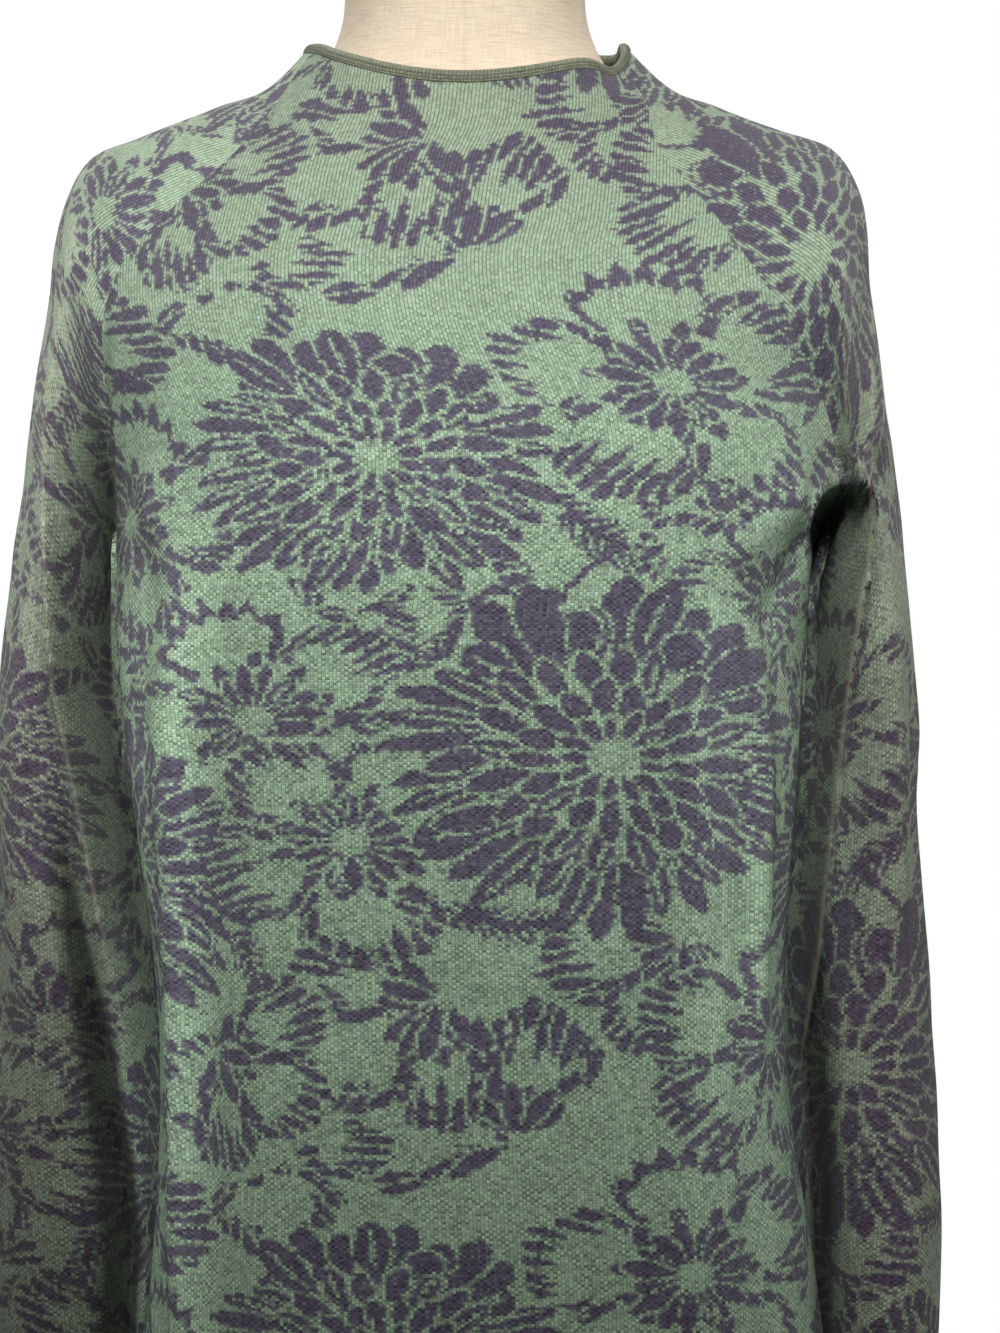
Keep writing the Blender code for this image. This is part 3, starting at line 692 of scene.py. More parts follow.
def foldsOf(hand, panel):
    # how far the folds of one side move the cloth back, and the painted highlight and painted
    # shade that go with them (painted light where the shade is below nought)
    x, y, z = np.moveaxis(panel["grid"], -1, 0)
    isSleeve = panel["kind"] == "sleeve"
    off = hand * x
    sleeve = sleeveShapes[hand]
    lean = np.interp(-z, -sleeve["height"], sleeve["y"], left=0.0) if isSleeve else 0.0
    ahead = fade(lean - y, *foldShape["ahead"])
    fold, groove, ridge = (readAt(rows[hand], z) for rows in (hangingFolds, grooves, sideRidges))
    foot = hangingFolds[hand]["height"].min()
    within = fade(z, foot, foot + foldShape["foot"])

    beside = off - fold["edge"]
    move = -fold["proud"] * np.exp(-((beside / foldShape["edge"]) ** 2)) * within
    drop = fade(beside, *foldShape["drop"]) * (1 - fade(beside, *foldShape["dropEnd"]))
    move += fold["step"] * drop * within
    slope = np.clip(-beside / (fold["edge"] - fold["inner"]), 0.0, 1.0) ** fold["bow"]
    hollow = slope * fade(off, fold["inner"] - foldShape["wall"], fold["inner"] + foldShape["wall"])
    if hand == underarmRoof["hand"]:
        hollow, web = roofed(hollow, off, beside, z)
        move -= web
    move += fold["back"] * hollow * within
    near = (off - groove["place"]) / groove["width"]
    sunk = np.exp(-near**2) * ahead * (z < grooves[hand]["height"].max())

    # painted shade in the hollow beside the body and in the grooves
    strength, spread = foldShape["hollowPaintedShade"]
    dark = strength * fold["dark"] * hollow**spread * ahead * within
    deepest, spread = foldShape["groovePaintedShade"]
    dark += groove["deep"] / deepest * sunk**spread
    # a spot of painted shade at the left underarm
    if hand == underarmSpot["hand"]:
        spot = ((off - underarmSpot["place"]) / underarmSpot["across"]) ** 2
        spot += ((z - underarmSpot["height"]) / underarmSpot["along"]) ** 2
        dark += underarmSpot["dark"] * np.exp(-spot) * ahead
    # painted shade on the sleeves, and painted light where it is below nought
    if isSleeve:
        shade = readAt(sleeveShade[hand], z)
        low, high = foldShape["behindGroove"]
        inside = 1 - fade(off, groove["place"] + low, groove["place"] + high)
        shade = shade["dark"] * (1 - inside * (1 - shade["kept"]))
        dark += shade * (off > 0) * (1 - hollow * ahead * within)
    else:
        # painted light on the front rising to its ridge and on the band beyond it
        turned = fade(off, ridge["place"], ridge["place"] + foldShape["ridgeTurn"])
        swell = fade(off, ridge["place"] - foldShape["ridgeRise"], ridge["place"]) * (1 - turned)
        band = turned * (1 - within * hollow ** foldShape["bandSpread"])
        move -= ridge["push"] * swell
        dark -= (ridge["push"] / foldShape["ridgePaintedLight"] * swell + ridge["light"] * band) * ahead
    return {
        "move": move * ahead + groove["deep"] * sunk,
        "beside": beside,
        "fuzzAndPaintedHighlight": fold["pale"] * ahead * within,
        "dark": dark,
    }


def hangFolds(panels):
    # only the cloth in front moves, straight forwards or back
    tuckSleeves(panels)
    for panel in panels.values():
        left, right = foldsOf(-1, panel), foldsOf(1, panel)
        nearer = np.abs(right["beside"]) < np.abs(left["beside"])
        # the painted highlight of the nearer fold's edge, and the painted shade of both sides
        for key in ("beside", "fuzzAndPaintedHighlight"):
            panel[key] = np.where(nearer, right[key], left[key])
        panel["dark"] = left["dark"] + right["dark"]
        panel["grid"][..., 1] += left["move"] + right["move"]


# Where the neck edge is pushed up or down, with how far each push reaches.
collarPushes = table(
    "x y lift reach",
    (71, -33, -9, 18),
    (-70, -34, 1, 10),
    (-80, 2, -5, 10),
)
collarDepth = 46.0      # the push fades out this far below the neck edge


def shapeCollar(panels):
    for panel in panels.values():
        grid = panel["grid"]
        edge = grid[:1]
        below = np.linalg.norm(grid - edge, axis=2)
        lift = np.zeros(edge.shape[:2])
        for push in rowsOf(collarPushes):
            far = np.hypot(edge[..., 0] - push["x"], edge[..., 1] - push["y"])
            lift += push["lift"] * np.exp(-((far / push["reach"]) ** 2))
        grid[..., 2] += lift * (1 - fade(below, 0.0, collarDepth))


unevenness = {
    "depth": 1.0,
    "waves": 7,
    "size": (38, 95),       # shortest and longest wave
}


def uneven(panel, seed):
    # slow unevenness of hand-hung cloth, as a few crossed waves
    random = np.random.default_rng(seed)
    lift = np.zeros(panel["across"].shape)
    for _ in range(unevenness["waves"]):
        turn = random.uniform(0, 2 * math.pi)
        size = random.uniform(*unevenness["size"])
        wave = panel["across"] * math.cos(turn) + panel["down"] * math.sin(turn)
        lift += np.sin(2 * math.pi * wave / size + random.uniform(0, 6.3)) / unevenness["waves"]
    return unevenness["depth"] * lift


# The share of a panel's width, beside each edge, over which its creases fade out.
edgeHold = {"torso": 0.10, "sleeve": 0.05}


def settle(panels):
    for order, (name, panel) in enumerate(panels.items()):
        flat = flatTorso if panel["kind"] == "torso" else flatSleeve
        panel["across"], panel["down"] = flat(panel)
        rows, count = panel["grid"].shape[:2]
        edge = np.minimum(np.arange(count), np.arange(count)[::-1])
        upper, lower = (fade(edge, 0, edgeHold[kind] * count) for kind in ("torso", panel["kind"]))
        hold = np.where(np.arange(rows)[:, None] > mesh["yokeRows"], lower, upper)
        lift = (creased(name, panel) + uneven(panel, order)) * hold
        panel["grid"] = panel["grid"] + panel["normals"] * lift[..., None]
    hangFolds(panels)
    shapeCollar(panels)
    faceNormals(panels)


panels = cloth()
settle(panels)
print("cloth surfaces made:", {name: panel["grid"].shape[:2] for name, panel in panels.items()})


def wrapped(angle):
    return (angle + math.pi) % (2 * math.pi) - math.pi


def polar(radius, turn):
    return np.array([radius * math.cos(turn), radius * math.sin(turn)])


def petal(x, y, start, turn, length, width, curl=0.0, full=1.3, blunt=0.7):
    # one solid petal, widest where full puts it
    dx, dy = x - start[0], y - start[1]
    along = (dx * math.cos(turn) + dy * math.sin(turn)) / length
    t = np.clip(along, 0, 1)
    aside = dy * math.cos(turn) - dx * math.sin(turn) - curl * length * t * t
    half = width / 2 * np.sin(math.pi * t**full) ** blunt
    return (along > 0) & (along < 1) & (np.abs(aside) < half)


# The plain cloth left round each petal and the width of the slit in some, in millimetres.
petalLook = {"gap": 1.9, "slit": 2.2}


def laid(ink, x, y, start, turn, length, width, curl=0.0, full=1.3, blunt=0.7, slit=0.0):
    # a petal on top of those before it, with one plain stitch left round it
    gap = petalLook["gap"]
    back = start - gap * np.array([math.cos(turn), math.sin(turn)])
    ink &= ~petal(x, y, back, turn, length + 2 * gap, width + 2 * gap, curl, full, blunt)
    ink |= petal(x, y, start, turn, length, width, curl, full, blunt)
    if slit:
        inner = start + 0.25 * length * np.array([math.cos(turn), math.sin(turn)])
        ink &= ~petal(x, y, inner, turn + 0.4 * curl, length * 0.62, slit, curl * 0.6, 1.0, 0.3)


def stroke(x, y, points, width, ends=0.5):
    # a drawn line, thicker in the middle
    inside = np.zeros(x.shape, bool)
    last = len(points) - 1
    for step, (px, py) in enumerate(points):
        half = width / 2 * (ends + (1 - ends) * math.sin(math.pi * step / last))
        inside |= (x - px) ** 2 + (y - py) ** 2 < half * half
    return inside


def lobeEnd(x, y, random, middle, reach, spread, points, thick, lean=0.0, jag=0.14):
    # the pinked end of one broad petal: a zigzag line that thickens, slit from inside
    far = np.hypot(x, y)
    aside = wrapped(np.arctan2(y, x) - middle - lean * far / reach) / spread
    phase = (np.clip(aside, -0.999, 0.999) + 1) / 2 * points
    number = np.floor(phase).astype(int)
    off = np.abs(2 * (phase - number) - 1)
    crown = 1 - 0.24 * np.minimum(np.abs(aside), 1.2) ** 2.2
    along = far / (reach * crown)
    lift = random.uniform(-0.04, 0.03, points)[number]
    outer = 1 + lift - jag * off
    swell = thick * np.clip(random.uniform(0.55, 1.15, points)[number], 0, 2) * (1 - 0.35 * aside**2)
    inner = outer - np.maximum(swell, 4.0 / reach) - 0.5 * jag * (1 - off)
    band = (np.abs(aside) < 1) & (along < outer) & (along > inner)
    half = far * spread / points
    deep = random.uniform(0.25, 1.0, points)[number]
    slit = (off * half > half - 1.0) & (along < inner + deep * (outer - inner))
    short = random.uniform(-0.2, 0.65, points)[number]
    slit |= (off * half < 0.95) & (along < inner + short * (outer - inner)) & (thick > 0.1)
    return band & ~slit


def lobe(x, y, random, middle, reach, spread, points, thick, lean=0.0):
    # the broad petal: its pinked end and the two lines down its sides
    ink = lobeEnd(x, y, random, middle, reach, spread, points, thick, lean)
    for side in (-1, 1):
        edge = middle + side * spread
        line = arc(polar(reach * 0.30, middle + side * 0.25), polar(reach * 0.52, edge + side * 0.10),
                   polar(reach * 0.80, edge + lean * 0.8 - side * 0.03))
        ink |= stroke(x, y, line, random.uniform(4.4, 8.0), 0.5)
    return ink


def petalRing(ink, x, y, random, turn, count, start, length, width, curl=0.1, slits=0.2):
    # small solid petals side by side, laid in a random order
    for k in random.permutation(count):
        angle = turn + 2 * math.pi * (k + 0.5) / count + random.uniform(-0.5, 0.5) / count
        size = length * random.uniform(0.78, 1.15)
        foot = polar(start * random.uniform(0.92, 1.08), angle)
        slit = petalLook["slit"] if random.random() < slits else 0.0
        bendBy = random.uniform(-curl, curl)
        laid(ink, x, y, foot, angle, size, width * random.uniform(0.85, 1.2), bendBy, 1.25, 0.6, slit)


# The solid petals at the heart of a flower, ring by ring from outside, in shares of its reach.
doubleHeart = table(
    "turn count start length width curl slits",
    (0.2, 20, 0.34, 0.28, 0.115, 0.25, 0.35),
    (0.0, 17, 0.20, 0.24, 0.095, 0.15, 0.1),
    (0.1, 13, 0.10, 0.15, 0.06, 0.1, 0.0),
)
openHeart = table(
    "turn count start length width curl slits",
    (0.1, 11, 0.22, 0.26, 0.11, 0.12, 0.15),
    (0.0, 16, 0.10, 0.30, 0.10, 0.12, 0.1),
)


def heart(ink, x, y, radius, turn, random, rings):
    for ring in rowsOf(rings):
        start, length, width = (radius * ring[key] for key in ("start", "length", "width"))
        count = int(ring["count"])
        petalRing(ink, x, y, random, turn + ring["turn"], count, start, length, width,
                  ring["curl"], ring["slits"])


def doubleBloom(x, y, radius, turn, random):
    # a large double flower: bundles of long petals, a broken ring and a heart of solid petals
    far = np.hypot(x, y)
    ink = np.zeros(x.shape, bool)
    bundles = 10
    clear = far < radius * (0.93 + 0.07 * np.cos(bundles * (np.arctan2(y, x) - turn)))
    for k in random.permutation(bundles):
        middle = turn + 2 * math.pi * k / bundles + random.uniform(-0.06, 0.06)
        reach = radius * random.uniform(0.92, 1.05)
        upward = -math.sin(middle)
        side = math.copysign(1, math.cos(middle))
        if upward > 0.5:
            count, width, curl, start, full, blunt = 4, 0.19, 0.06, 0.50, 1.5, 0.5
        elif upward > -0.45:
            count, width, curl, start, full, blunt = 5, 0.115, 0.17 * side, 0.42, 1.35, 0.5
        else:
            count, width, curl, start, full, blunt = 5, 0.135, -0.12 * side, 0.44, 1.3, 0.6
        for n in random.permutation(count):
            share = (n - (count - 1) / 2) / ((count - 1) / 2)
            angle = middle + 0.25 * share
            size = reach * (1 - 0.16 * share * share) * random.uniform(0.92, 1.03) - radius * start
            foot = polar(radius * start * random.uniform(0.92, 1.06), angle)
            slit = petalLook["slit"] if random.random() < 0.45 else 0.0
            laid(ink, x, y, foot, angle + 0.14 * share, size, radius * width, curl, full, blunt, slit)
    heart(ink, x, y, radius, turn, random, doubleHeart)
    return ink, clear


def feathers(ink, x, y, random, middle, reach, spread, count, long, width, lean=0.0):
    # short slanting dashes side by side, as the frayed end of a broad petal
    for n in random.permutation(count):
        share = 2 * (n + 0.5) / count - 1
        angle = middle + spread * share + lean
        size = reach * long * random.uniform(0.6, 1.25) * (1 - 0.3 * share * share)
        out = reach * (1 - 0.22 * abs(share) ** 2.2) * random.uniform(0.95, 1.04)
        slant = angle - 0.35 * share + random.uniform(-0.12, 0.12)
        foot = polar(out, angle) - polar(size, slant)
        laid(ink, x, y, foot, slant, size, reach * width * random.uniform(0.8, 1.25), 0.0, 1.6, 0.5)


# The broad petals of an open blossom: fewest and most points, thickness, and frayed ends as
# their share of the petal's width, number, length and width.
broadPetals = (
    ((6, 9), 0.10, None),
    ((8, 11), 0.12, (1.0, 11, 0.40, 0.082)),
    ((7, 10), 0.10, (0.9, 9, 0.28, 0.085)),
)


def openBlossom(x, y, radius, turn, random):
    # five broad petals, plain inside, round two rings of small solid ones
    far = np.hypot(x, y)
    ink = np.zeros(x.shape, bool)
    clear = far < radius * (0.90 + 0.09 * np.cos(5 * (np.arctan2(y, x) - turn)))
    for k, kind in enumerate((0, 1, 2, 1, 2)):
        middle = turn + 2 * math.pi * k / 5 + random.uniform(-0.08, 0.08)
        reach = radius * random.uniform(0.93, 1.05)
        spread = random.uniform(0.52, 0.62)
        lean = random.uniform(-0.14, 0.14)
        points, thick, frayed = broadPetals[kind]
        ink |= lobe(x, y, random, middle, reach, spread, int(random.integers(*points)), thick, lean)
        if frayed:
            spread = spread * frayed[0]
            feathers(ink, x, y, random, middle, reach, spread, *frayed[1:], lean * 0.7)
    ink &= ~(far < radius * 0.46)
    heart(ink, x, y, radius, turn, random, openHeart)
    return ink, clear


def sideBlossom(x, y, radius, turn, random):
    # a blossom seen from its side: three frayed petals over a cup of small solid ones
    far = np.hypot(x, y)
    ink = np.zeros(x.shape, bool)
    clear = (far < radius * 0.97) & (np.abs(wrapped(np.arctan2(y, x) - turn)) < 1.2)
    for k in (0, 2, 1):
        middle = turn + (k - 1) * 0.82
        reach = radius * random.uniform(0.90, 1.04)
        ink |= lobe(x, y, random, middle, reach, 0.44, int(random.integers(6, 9)), 0.11, 0.12 * (k - 1))
        long = 0.42 if k != 1 else 0.28
        feathers(ink, x, y, random, middle, reach, 0.42, 8, long, 0.095, 0.1 * (k - 1))
    ink &= ~(far < radius * 0.36)
    for k in random.permutation(11):
        angle = turn + (k - 5) * 0.26
        laid(ink, x, y, polar(radius * 0.06, angle), angle, radius * random.uniform(0.26, 0.42),
             radius * 0.12, 0.04 * (k - 5), 1.2, 0.65)
    return ink, clear


def leaf(x, y, radius, turn, random):
    # a feathered leaf: a curved rib with slanting blades on both sides
    ink = np.zeros(x.shape, bool)
    rib = arc(polar(radius, turn + math.pi), polar(radius * 0.35, turn + 1.5), polar(radius, turn), 40)
    for k in range(3, 38, 3):
        way = math.atan2(*(rib[k + 1] - rib[k - 1])[::-1])
        size = radius * (0.30 + 0.20 * math.sin(math.pi * k / 40)) * random.uniform(0.85, 1.1)
        for side in (-1, 1):
            laid(ink, x, y, rib[k], way + side * 0.62, size, 5.2, -0.12 * side, 1.1, 0.6)
    ink |= stroke(x, y, rib, 3.4, 0.5)
    return ink, np.zeros(x.shape, bool)


# The pattern's repeat, in millimetres.
repeat = {
    "width": 436.0,
    "height": 412.0,
    "stem": 3.6,            # width of a stem
    "stemReach": 70,        # how far a stem reaches from its middle
    "frayU": 0.8,           # how far the edges of the shapes stray, across and down
    "frayV": 0.55,
}
# The kinds of motif, numbered from 1, with how much each is pressed flat.
kinds = (
    (openBlossom, 0.72),
    (doubleBloom, 0.76),
    (sideBlossom, 0.86),
    (leaf, 1.0),
)
# Where the eye of each motif lies, how far it reaches and how it turns.
flowers = table(
    "kind x y reach turn",
    (4, -70, 152, 42, 0.5),
    (4, -10, 20, 40, 1.9),
    (4, 100, 222, 40, -0.3),
    (4, -206, 220, 40, 0.9),
    (4, -120, 330, 36, 0.2),
    (4, 200, 330, 36, 1.4),
    (3, 60, 90, 60, -2.4),
    (3, 150, 214, 62, 1.9),
    (3, -6, 150, 56, 2.6),
    (3, -96, 180, 60, 2.3),
    (3, -200, 196, 56, -0.6),
    (3, 30, 262, 58, 0.7),
    (3, 60, 366, 60, -2.7),
    (4, 60, 236, 40, 1.2),
    (4, -120, 206, 34, 2.6),
    (4, -92, 84, 44, -0.5),
    (4, 52, 24, 42, 0.4),
    (4, 150, 82, 38, 2.4),
    (3, -112, 26, 78, -2.2),
    (3, -30, 344, 72, 2.0),
    (1, 196, 22, 78, -1.2),
    (1, -32, 88, 90, -1.6),
    (3, 92, 66, 84, -0.9),
    (1, 122, 152, 88, -1.3),
    (1, 26, 188, 72, -1.8),
    (1, 208, 244, 84, -1.9),
    (3, -142, 372, 80, 2.5),
    (1, 26, 396, 82, -1.4),
    (2, 112, 312, 100, -1.6),
    (1, -184, 300, 80, -1.0),
    (2, -176, 124, 92, -1.5),
    (2, -62, 262, 112, -1.5),
    (3, 176, 398, 72, 0.5),
)
stems = table(
    "x1 y1 x2 y2 x3 y3",
    (-62, 338, -50, 362, -92, 394),
    (-30, 150, -70, 160, -96, 200),
    (30, 206, 70, 246, 60, 272),
    (104, 372, 60, 382, 30, 382),
    (116, 210, 150, 232, 168, 242),
)


def placesOf(x, y, reach, low, high):
    # every copy of one motif that comes near the panel
    wide, tall = repeat["width"], repeat["height"]
    found = []
    for i in range(int((low[0] - x - reach) // wide) - 1, int((high[0] - x + reach) // wide) + 2):
        for j in range(int((low[1] - y - reach) // tall) - 1, int((high[1] - y + reach) // tall) + 2):
            place = np.array([x + i * wide, y + j * tall])
            if (place > low - reach).all() and (place < high + reach).all():
                found.append(place)
    return found


def drawChart(panel, shift, mirror):
    # one true or false value a stitch: violet or green
    wide = panel["across"] / knit["wale"]
    tall = panel["down"] / knit["course"]
    firstU, firstV = int(wide.min()) - 4, int(tall.min()) - 4
    lastU, lastV = int(wide.max()) + 10, int(tall.max()) + 16
    u, v = np.meshgrid(np.arange(firstU, lastU), np.arange(firstV, lastV))
    x = mirror * (u + 0.5) * knit["wale"] + shift[0]
    y = (v + 0.5) * knit["course"] + shift[1]
    frayed = np.random.default_rng(5)
    x += frayed.uniform(-repeat["frayU"], repeat["frayU"], x.shape)
    y += frayed.uniform(-repeat["frayV"], repeat["frayV"], x.shape)
    chart = np.zeros(x.shape, bool)
    low, high = np.array([x.min(), y.min()]), np.array([x.max(), y.max()])
    for stem in rowsOf(stems):
        for place in placesOf(stem["x2"], stem["y2"], repeat["stemReach"], low, high):
            move = place - (stem["x2"], stem["y2"])
            line = arc(*(move + (stem["x" + n], stem["y" + n]) for n in "123"), 90)
            near = np.maximum(np.abs(x - place[0]), np.abs(y - place[1])) < repeat["stemReach"] + 10
            chart[near] |= stroke(x[near], y[near], line, repeat["stem"], 0.7)
    for row, one in enumerate(rowsOf(flowers)):
        draw, flat = kinds[int(one["kind"]) - 1]
        for place in placesOf(one["x"], one["y"], one["reach"] * 1.1, low, high):
            near = np.maximum(np.abs(x - place[0]), np.abs(y - place[1])) < one["reach"] * 1.15
            random = np.random.default_rng(100 + row)
            aside, below = x[near] - place[0], (y[near] - place[1]) / flat
            ink, clear = draw(aside, below, one["reach"], one["turn"], random)
            chart[near] = (chart[near] & ~clear) | ink
    panel["chart"], panel["chartU"], panel["chartV"] = chart, -firstU, -firstV


patternPlaces = {
    "dressFront": ((-132, -68), 1),
    "dressBack": ((70, 130), 1),
    "sleeveLeft": ((-150, 120), 1),
    "sleeveRight": ((-150, 120), -1),
}
for name, (shift, mirror) in patternPlaces.items():
    drawChart(panels[name], shift, mirror)
print("flower charts drawn, violet share:", round(float(panels["dressFront"]["chart"].mean()), 2))


def meshFrom(name, points, faces, finish, smooth=True):
    made = bpy.data.meshes.new(name)
    made.from_pydata((np.asarray(points) * mm).tolist(), [], faces)
    made.materials.append(finish)
    if smooth:
        made.shade_smooth()
    made.update()
    piece = bpy.data.objects.new(name, made)
    bpy.context.scene.collection.objects.link(piece)
    return piece


# A face knows the stitches round it as a window of the chart, in parts of a few courses each.
window = {"wales": 6, "courses": 4, "parts": 3}


def chartWindows(chart, baseU, baseV):
    # the stitches of each face's window, packed into one whole number for each part
    rows, columns = chart.shape
    packed = np.zeros(baseU.shape + (window["parts"],))
    for part in range(window["parts"]):
        for v in range(window["courses"]):
            for u in range(window["wales"]):
                row = np.clip(baseV + part * window["courses"] + v, 0, rows - 1)
                column = np.clip(baseU + u, 0, columns - 1)
                packed[..., part] += chart[row, column] * 2.0 ** (v * window["wales"] + u)
    return packed


def addAttribute(piece, name, domain, values):
    made = piece.data.attributes.new(name, "FLOAT_VECTOR", domain)
    made.data.foreach_set("vector", values.astype(np.float32).ravel())


def cornersOf(values):
    # the four corners of every face
    return np.stack([values[:-1, :-1], values[:-1, 1:], values[1:, 1:], values[1:, :-1]])


def knitPiece(name, panel, finish):
    # two skins and the walls round their edge; the underarm seam of a sleeve keeps both its
    # edges, so that stitches don't smear over it
    grid, outward = panel["grid"], panel["outward"]
    index = np.arange(grid[..., 0].size).reshape(grid.shape[:2])
    quads = cornersOf(index).reshape(4, -1).T[:, ::-outward]
    edge = np.concatenate([index[0, :-1], index[:-1, -1], index[-1, :0:-1], index[:0:-1, 0]])
    after = np.roll(edge, -1)
    walls = np.stack([edge, after, after + index.size, edge + index.size], axis=1)[:, ::outward]
    faces = np.concatenate([quads, quads[:, ::-1] + index.size, walls])
    points = np.concatenate([grid, grid - panel["normals"] * knit["wall"]]).reshape(-1, 3)
    piece = meshFrom(name, points, faces.tolist(), finish)
    piece.data.set_sharp_from_angle(angle=math.radians(50))
    wales = panel["across"] / knit["wale"]
    courses = panel["down"] / knit["course"]
    # the folds' edges, their painted highlight and their painted shade
    folds = (panel["beside"], panel["fuzzAndPaintedHighlight"], panel["dark"])
    for key, values in (("stitch", (wales, courses, panel["seam"])), ("foldPaintedLight", folds)):
        skin = np.stack(values, axis=-1).reshape(-1, 3)
        addAttribute(piece, key, "POINT", np.concatenate([skin, skin]))
    baseU, baseV = (
        np.floor(cornersOf(values).min(axis=0)).astype(int).ravel() for values in (wales, courses)
    )
    bits = chartWindows(panel["chart"], baseU + panel["chartU"], baseV + panel["chartV"])
    base = np.stack([baseU, baseV, 0 * baseU], axis=1)
    for key, values in (("chartBase", base), ("chartBits", bits)):
        addAttribute(piece, key, "FACE", np.concatenate([values, values, np.zeros((len(walls), 3))]))
    return piece


def nodeMaterial(name):
    made = bpy.data.materials.new(name)
    made.use_nodes = True
    tree = made.node_tree
    return made, tree, tree.nodes["Principled BSDF"]


def operator(name, turned=False):
    # turned: the signal is the second of the two values
    def apply(one, other):
        return calc(name, other, one) if turned else calc(name, one, other)

    return apply


class Signal:
    # a value that a material works out; sums and products of such values become its math nodes
    def __init__(self, socket):
        self.socket = socket
        self.tree = socket.id_data

    __add__ = operator("ADD")
    __radd__ = operator("ADD", turned=True)
    __sub__ = operator("SUBTRACT")
    __rsub__ = operator("SUBTRACT", turned=True)
    __mul__ = operator("MULTIPLY")
    __rmul__ = operator("MULTIPLY", turned=True)
    __truediv__ = operator("DIVIDE")
    __pow__ = operator("POWER")
    __rpow__ = operator("POWER", turned=True)


def wire(value, socket):
    if isinstance(value, Signal):
        value.tree.links.new(value.socket, socket)
    elif isinstance(value, tuple) and len(value) < len(socket.default_value):
        socket.default_value = (*value, 1.0)
    else:
        socket.default_value = value


def setUp(node, values):
    # each value to the socket it is named after
    for name, value in values.items():
        wire(value, node.inputs[name])


def treeOf(values):
    return next(value.tree for value in values if isinstance(value, Signal))


def calc(operation, *values, clamp=False):
    node = treeOf(values).nodes.new("ShaderNodeMath")
    node.operation = operation
    node.use_clamp = clamp
    for socket, value in zip(node.inputs, values):
        wire(value, socket)
    return Signal(node.outputs[0])


def combine(*values):
    node = treeOf(values).nodes.new("ShaderNodeCombineXYZ")
    for socket, value in zip(node.inputs, values):
        wire(value, socket)
    return Signal(node.outputs[0])


def axesOf(vector):
    node = vector.tree.nodes.new("ShaderNodeSeparateXYZ")
    wire(vector, node.inputs[0])
    return [Signal(axis) for axis in node.outputs]


def attribute(tree, name):
    node = tree.nodes.new("ShaderNodeAttribute")
    node.attribute_name = name
    return axesOf(Signal(node.outputs["Vector"]))


def objectPlace(tree):
    return Signal(tree.nodes.new("ShaderNodeTexCoord").outputs["Object"])


def noise(vector, scale, detail=2.0, rough=0.5):
    node = vector.tree.nodes.new("ShaderNodeTexNoise")
    setUp(node, {"Vector": vector, "Scale": scale, "Detail": detail, "Roughness": rough})
    return Signal(node.outputs["Fac"])


def cellNoise(vector):
    node = vector.tree.nodes.new("ShaderNodeTexWhiteNoise")
    setUp(node, {"Vector": vector})
    return Signal(node.outputs["Value"])


def mix(share, first, second, blend="MIX"):
    node = treeOf((share, first, second)).nodes.new("ShaderNodeMix")
    node.data_type = "RGBA"
    node.blend_type = blend
    colours = [socket for socket in node.inputs if socket.type == "RGBA"]
    for socket, value in zip((node.inputs[0], *colours), (share, first, second)):
        wire(value, socket)
    return Signal([socket for socket in node.outputs if socket.type == "RGBA"][0])


def tinted(colour, shade):
    return mix(1.0, colour, combine(shade, shade, shade), "MULTIPLY")


def between(share, first, second):
    # the first value where share is 0, the second where it is 1
    return first * (1.0 - share) + second * share


def ramp(value, start, rise):
    return calc("MULTIPLY", value - start, rise, clamp=True)


def bell(value):
    return calc("EXPONENT", value * value * -1.0)


def bump(height, depth):
    # depth in millimetres
    node = height.tree.nodes.new("ShaderNodeBump")
    setUp(node, {"Strength": 1.0, "Distance": depth * mm, "Height": height})
    return Signal(node.outputs[0])


knitLook = {
    "slant": 0.45,          # how far each leg of a stitch slants, in courses
    "stitchDepth": 0.38,    # how far the yarn stands up, in millimetres
    "wander": 0.5,          # how far the yarn strays, in stitches
    "fibre": 2.6,           # how far single fibres stray, in stitches
    "checker": 0.20,        # how much every other stitch is lighter
    "marl": 0.34,           # how much one stitch differs from the next
    "marlInYoke": 0.35,     # the share of that which the stretched yoke keeps
    "patches": 0.22,        # how much one part of the cloth differs from another
    "peek": 0.16,           # share of the other yarn that shows through
    "strayStitches": 0.07,  # share of the stitches in which much more of it shows
    "light": 1.18,
    "waleShadow": 0.46,     # how dark it is between two wales
    "ribShadow": 0.50,      # how much darker in the yoke
    "darkest": 0.15,        # share of its light that a fold's deepest place keeps
    "roughness": 0.92,
    "specular": 0.15,
    "sheen": 0.12,
    "sheenTint": (0.78, 0.92, 0.78),
    "foldHighlight": 1.9,            # strength of the painted highlight along a fold's edge
    "foldHighlightWidth": 0.8,
    "foldHighlightRagged": 1.5,      # how far its edge strays
    "foldHighlightColour": (0.50, 0.50, 0.36),
}
# Where the cloth is pulled wide and where a painted warm cast tints it browner: the start in
# metres, and the rise.
places = {
    "yoke": (1.22, 8.0),
    "warmLightYoke": (1.25, 6.0),
    "warmLightArms": (0.155, 25.0),
    "warmLightMost": (0.5, 1.0),     # in the yoke and on the arms
    "warmLightShare": 0.8,
    "warmLightTint": (1.14, 0.92, 0.98),
}
relief = {
    "roundness": 0.6,       # low powers make full legs
    "waist": 0.55,          # how much a leg thins at its ends
    "checker": 0.12,
    "marl": 0.25,
    "seamWidth": 1.5,       # millimetres
    "seamDepth": 0.15,
}


def legsOf(wales, courses):
    # how far a place is from the middle of its wale's gap, and its course along the slanting legs
    off = calc("ABSOLUTE", calc("FRACT", wales) * 2.0 - 1.0)
    return off, courses + off * knitLook["slant"]


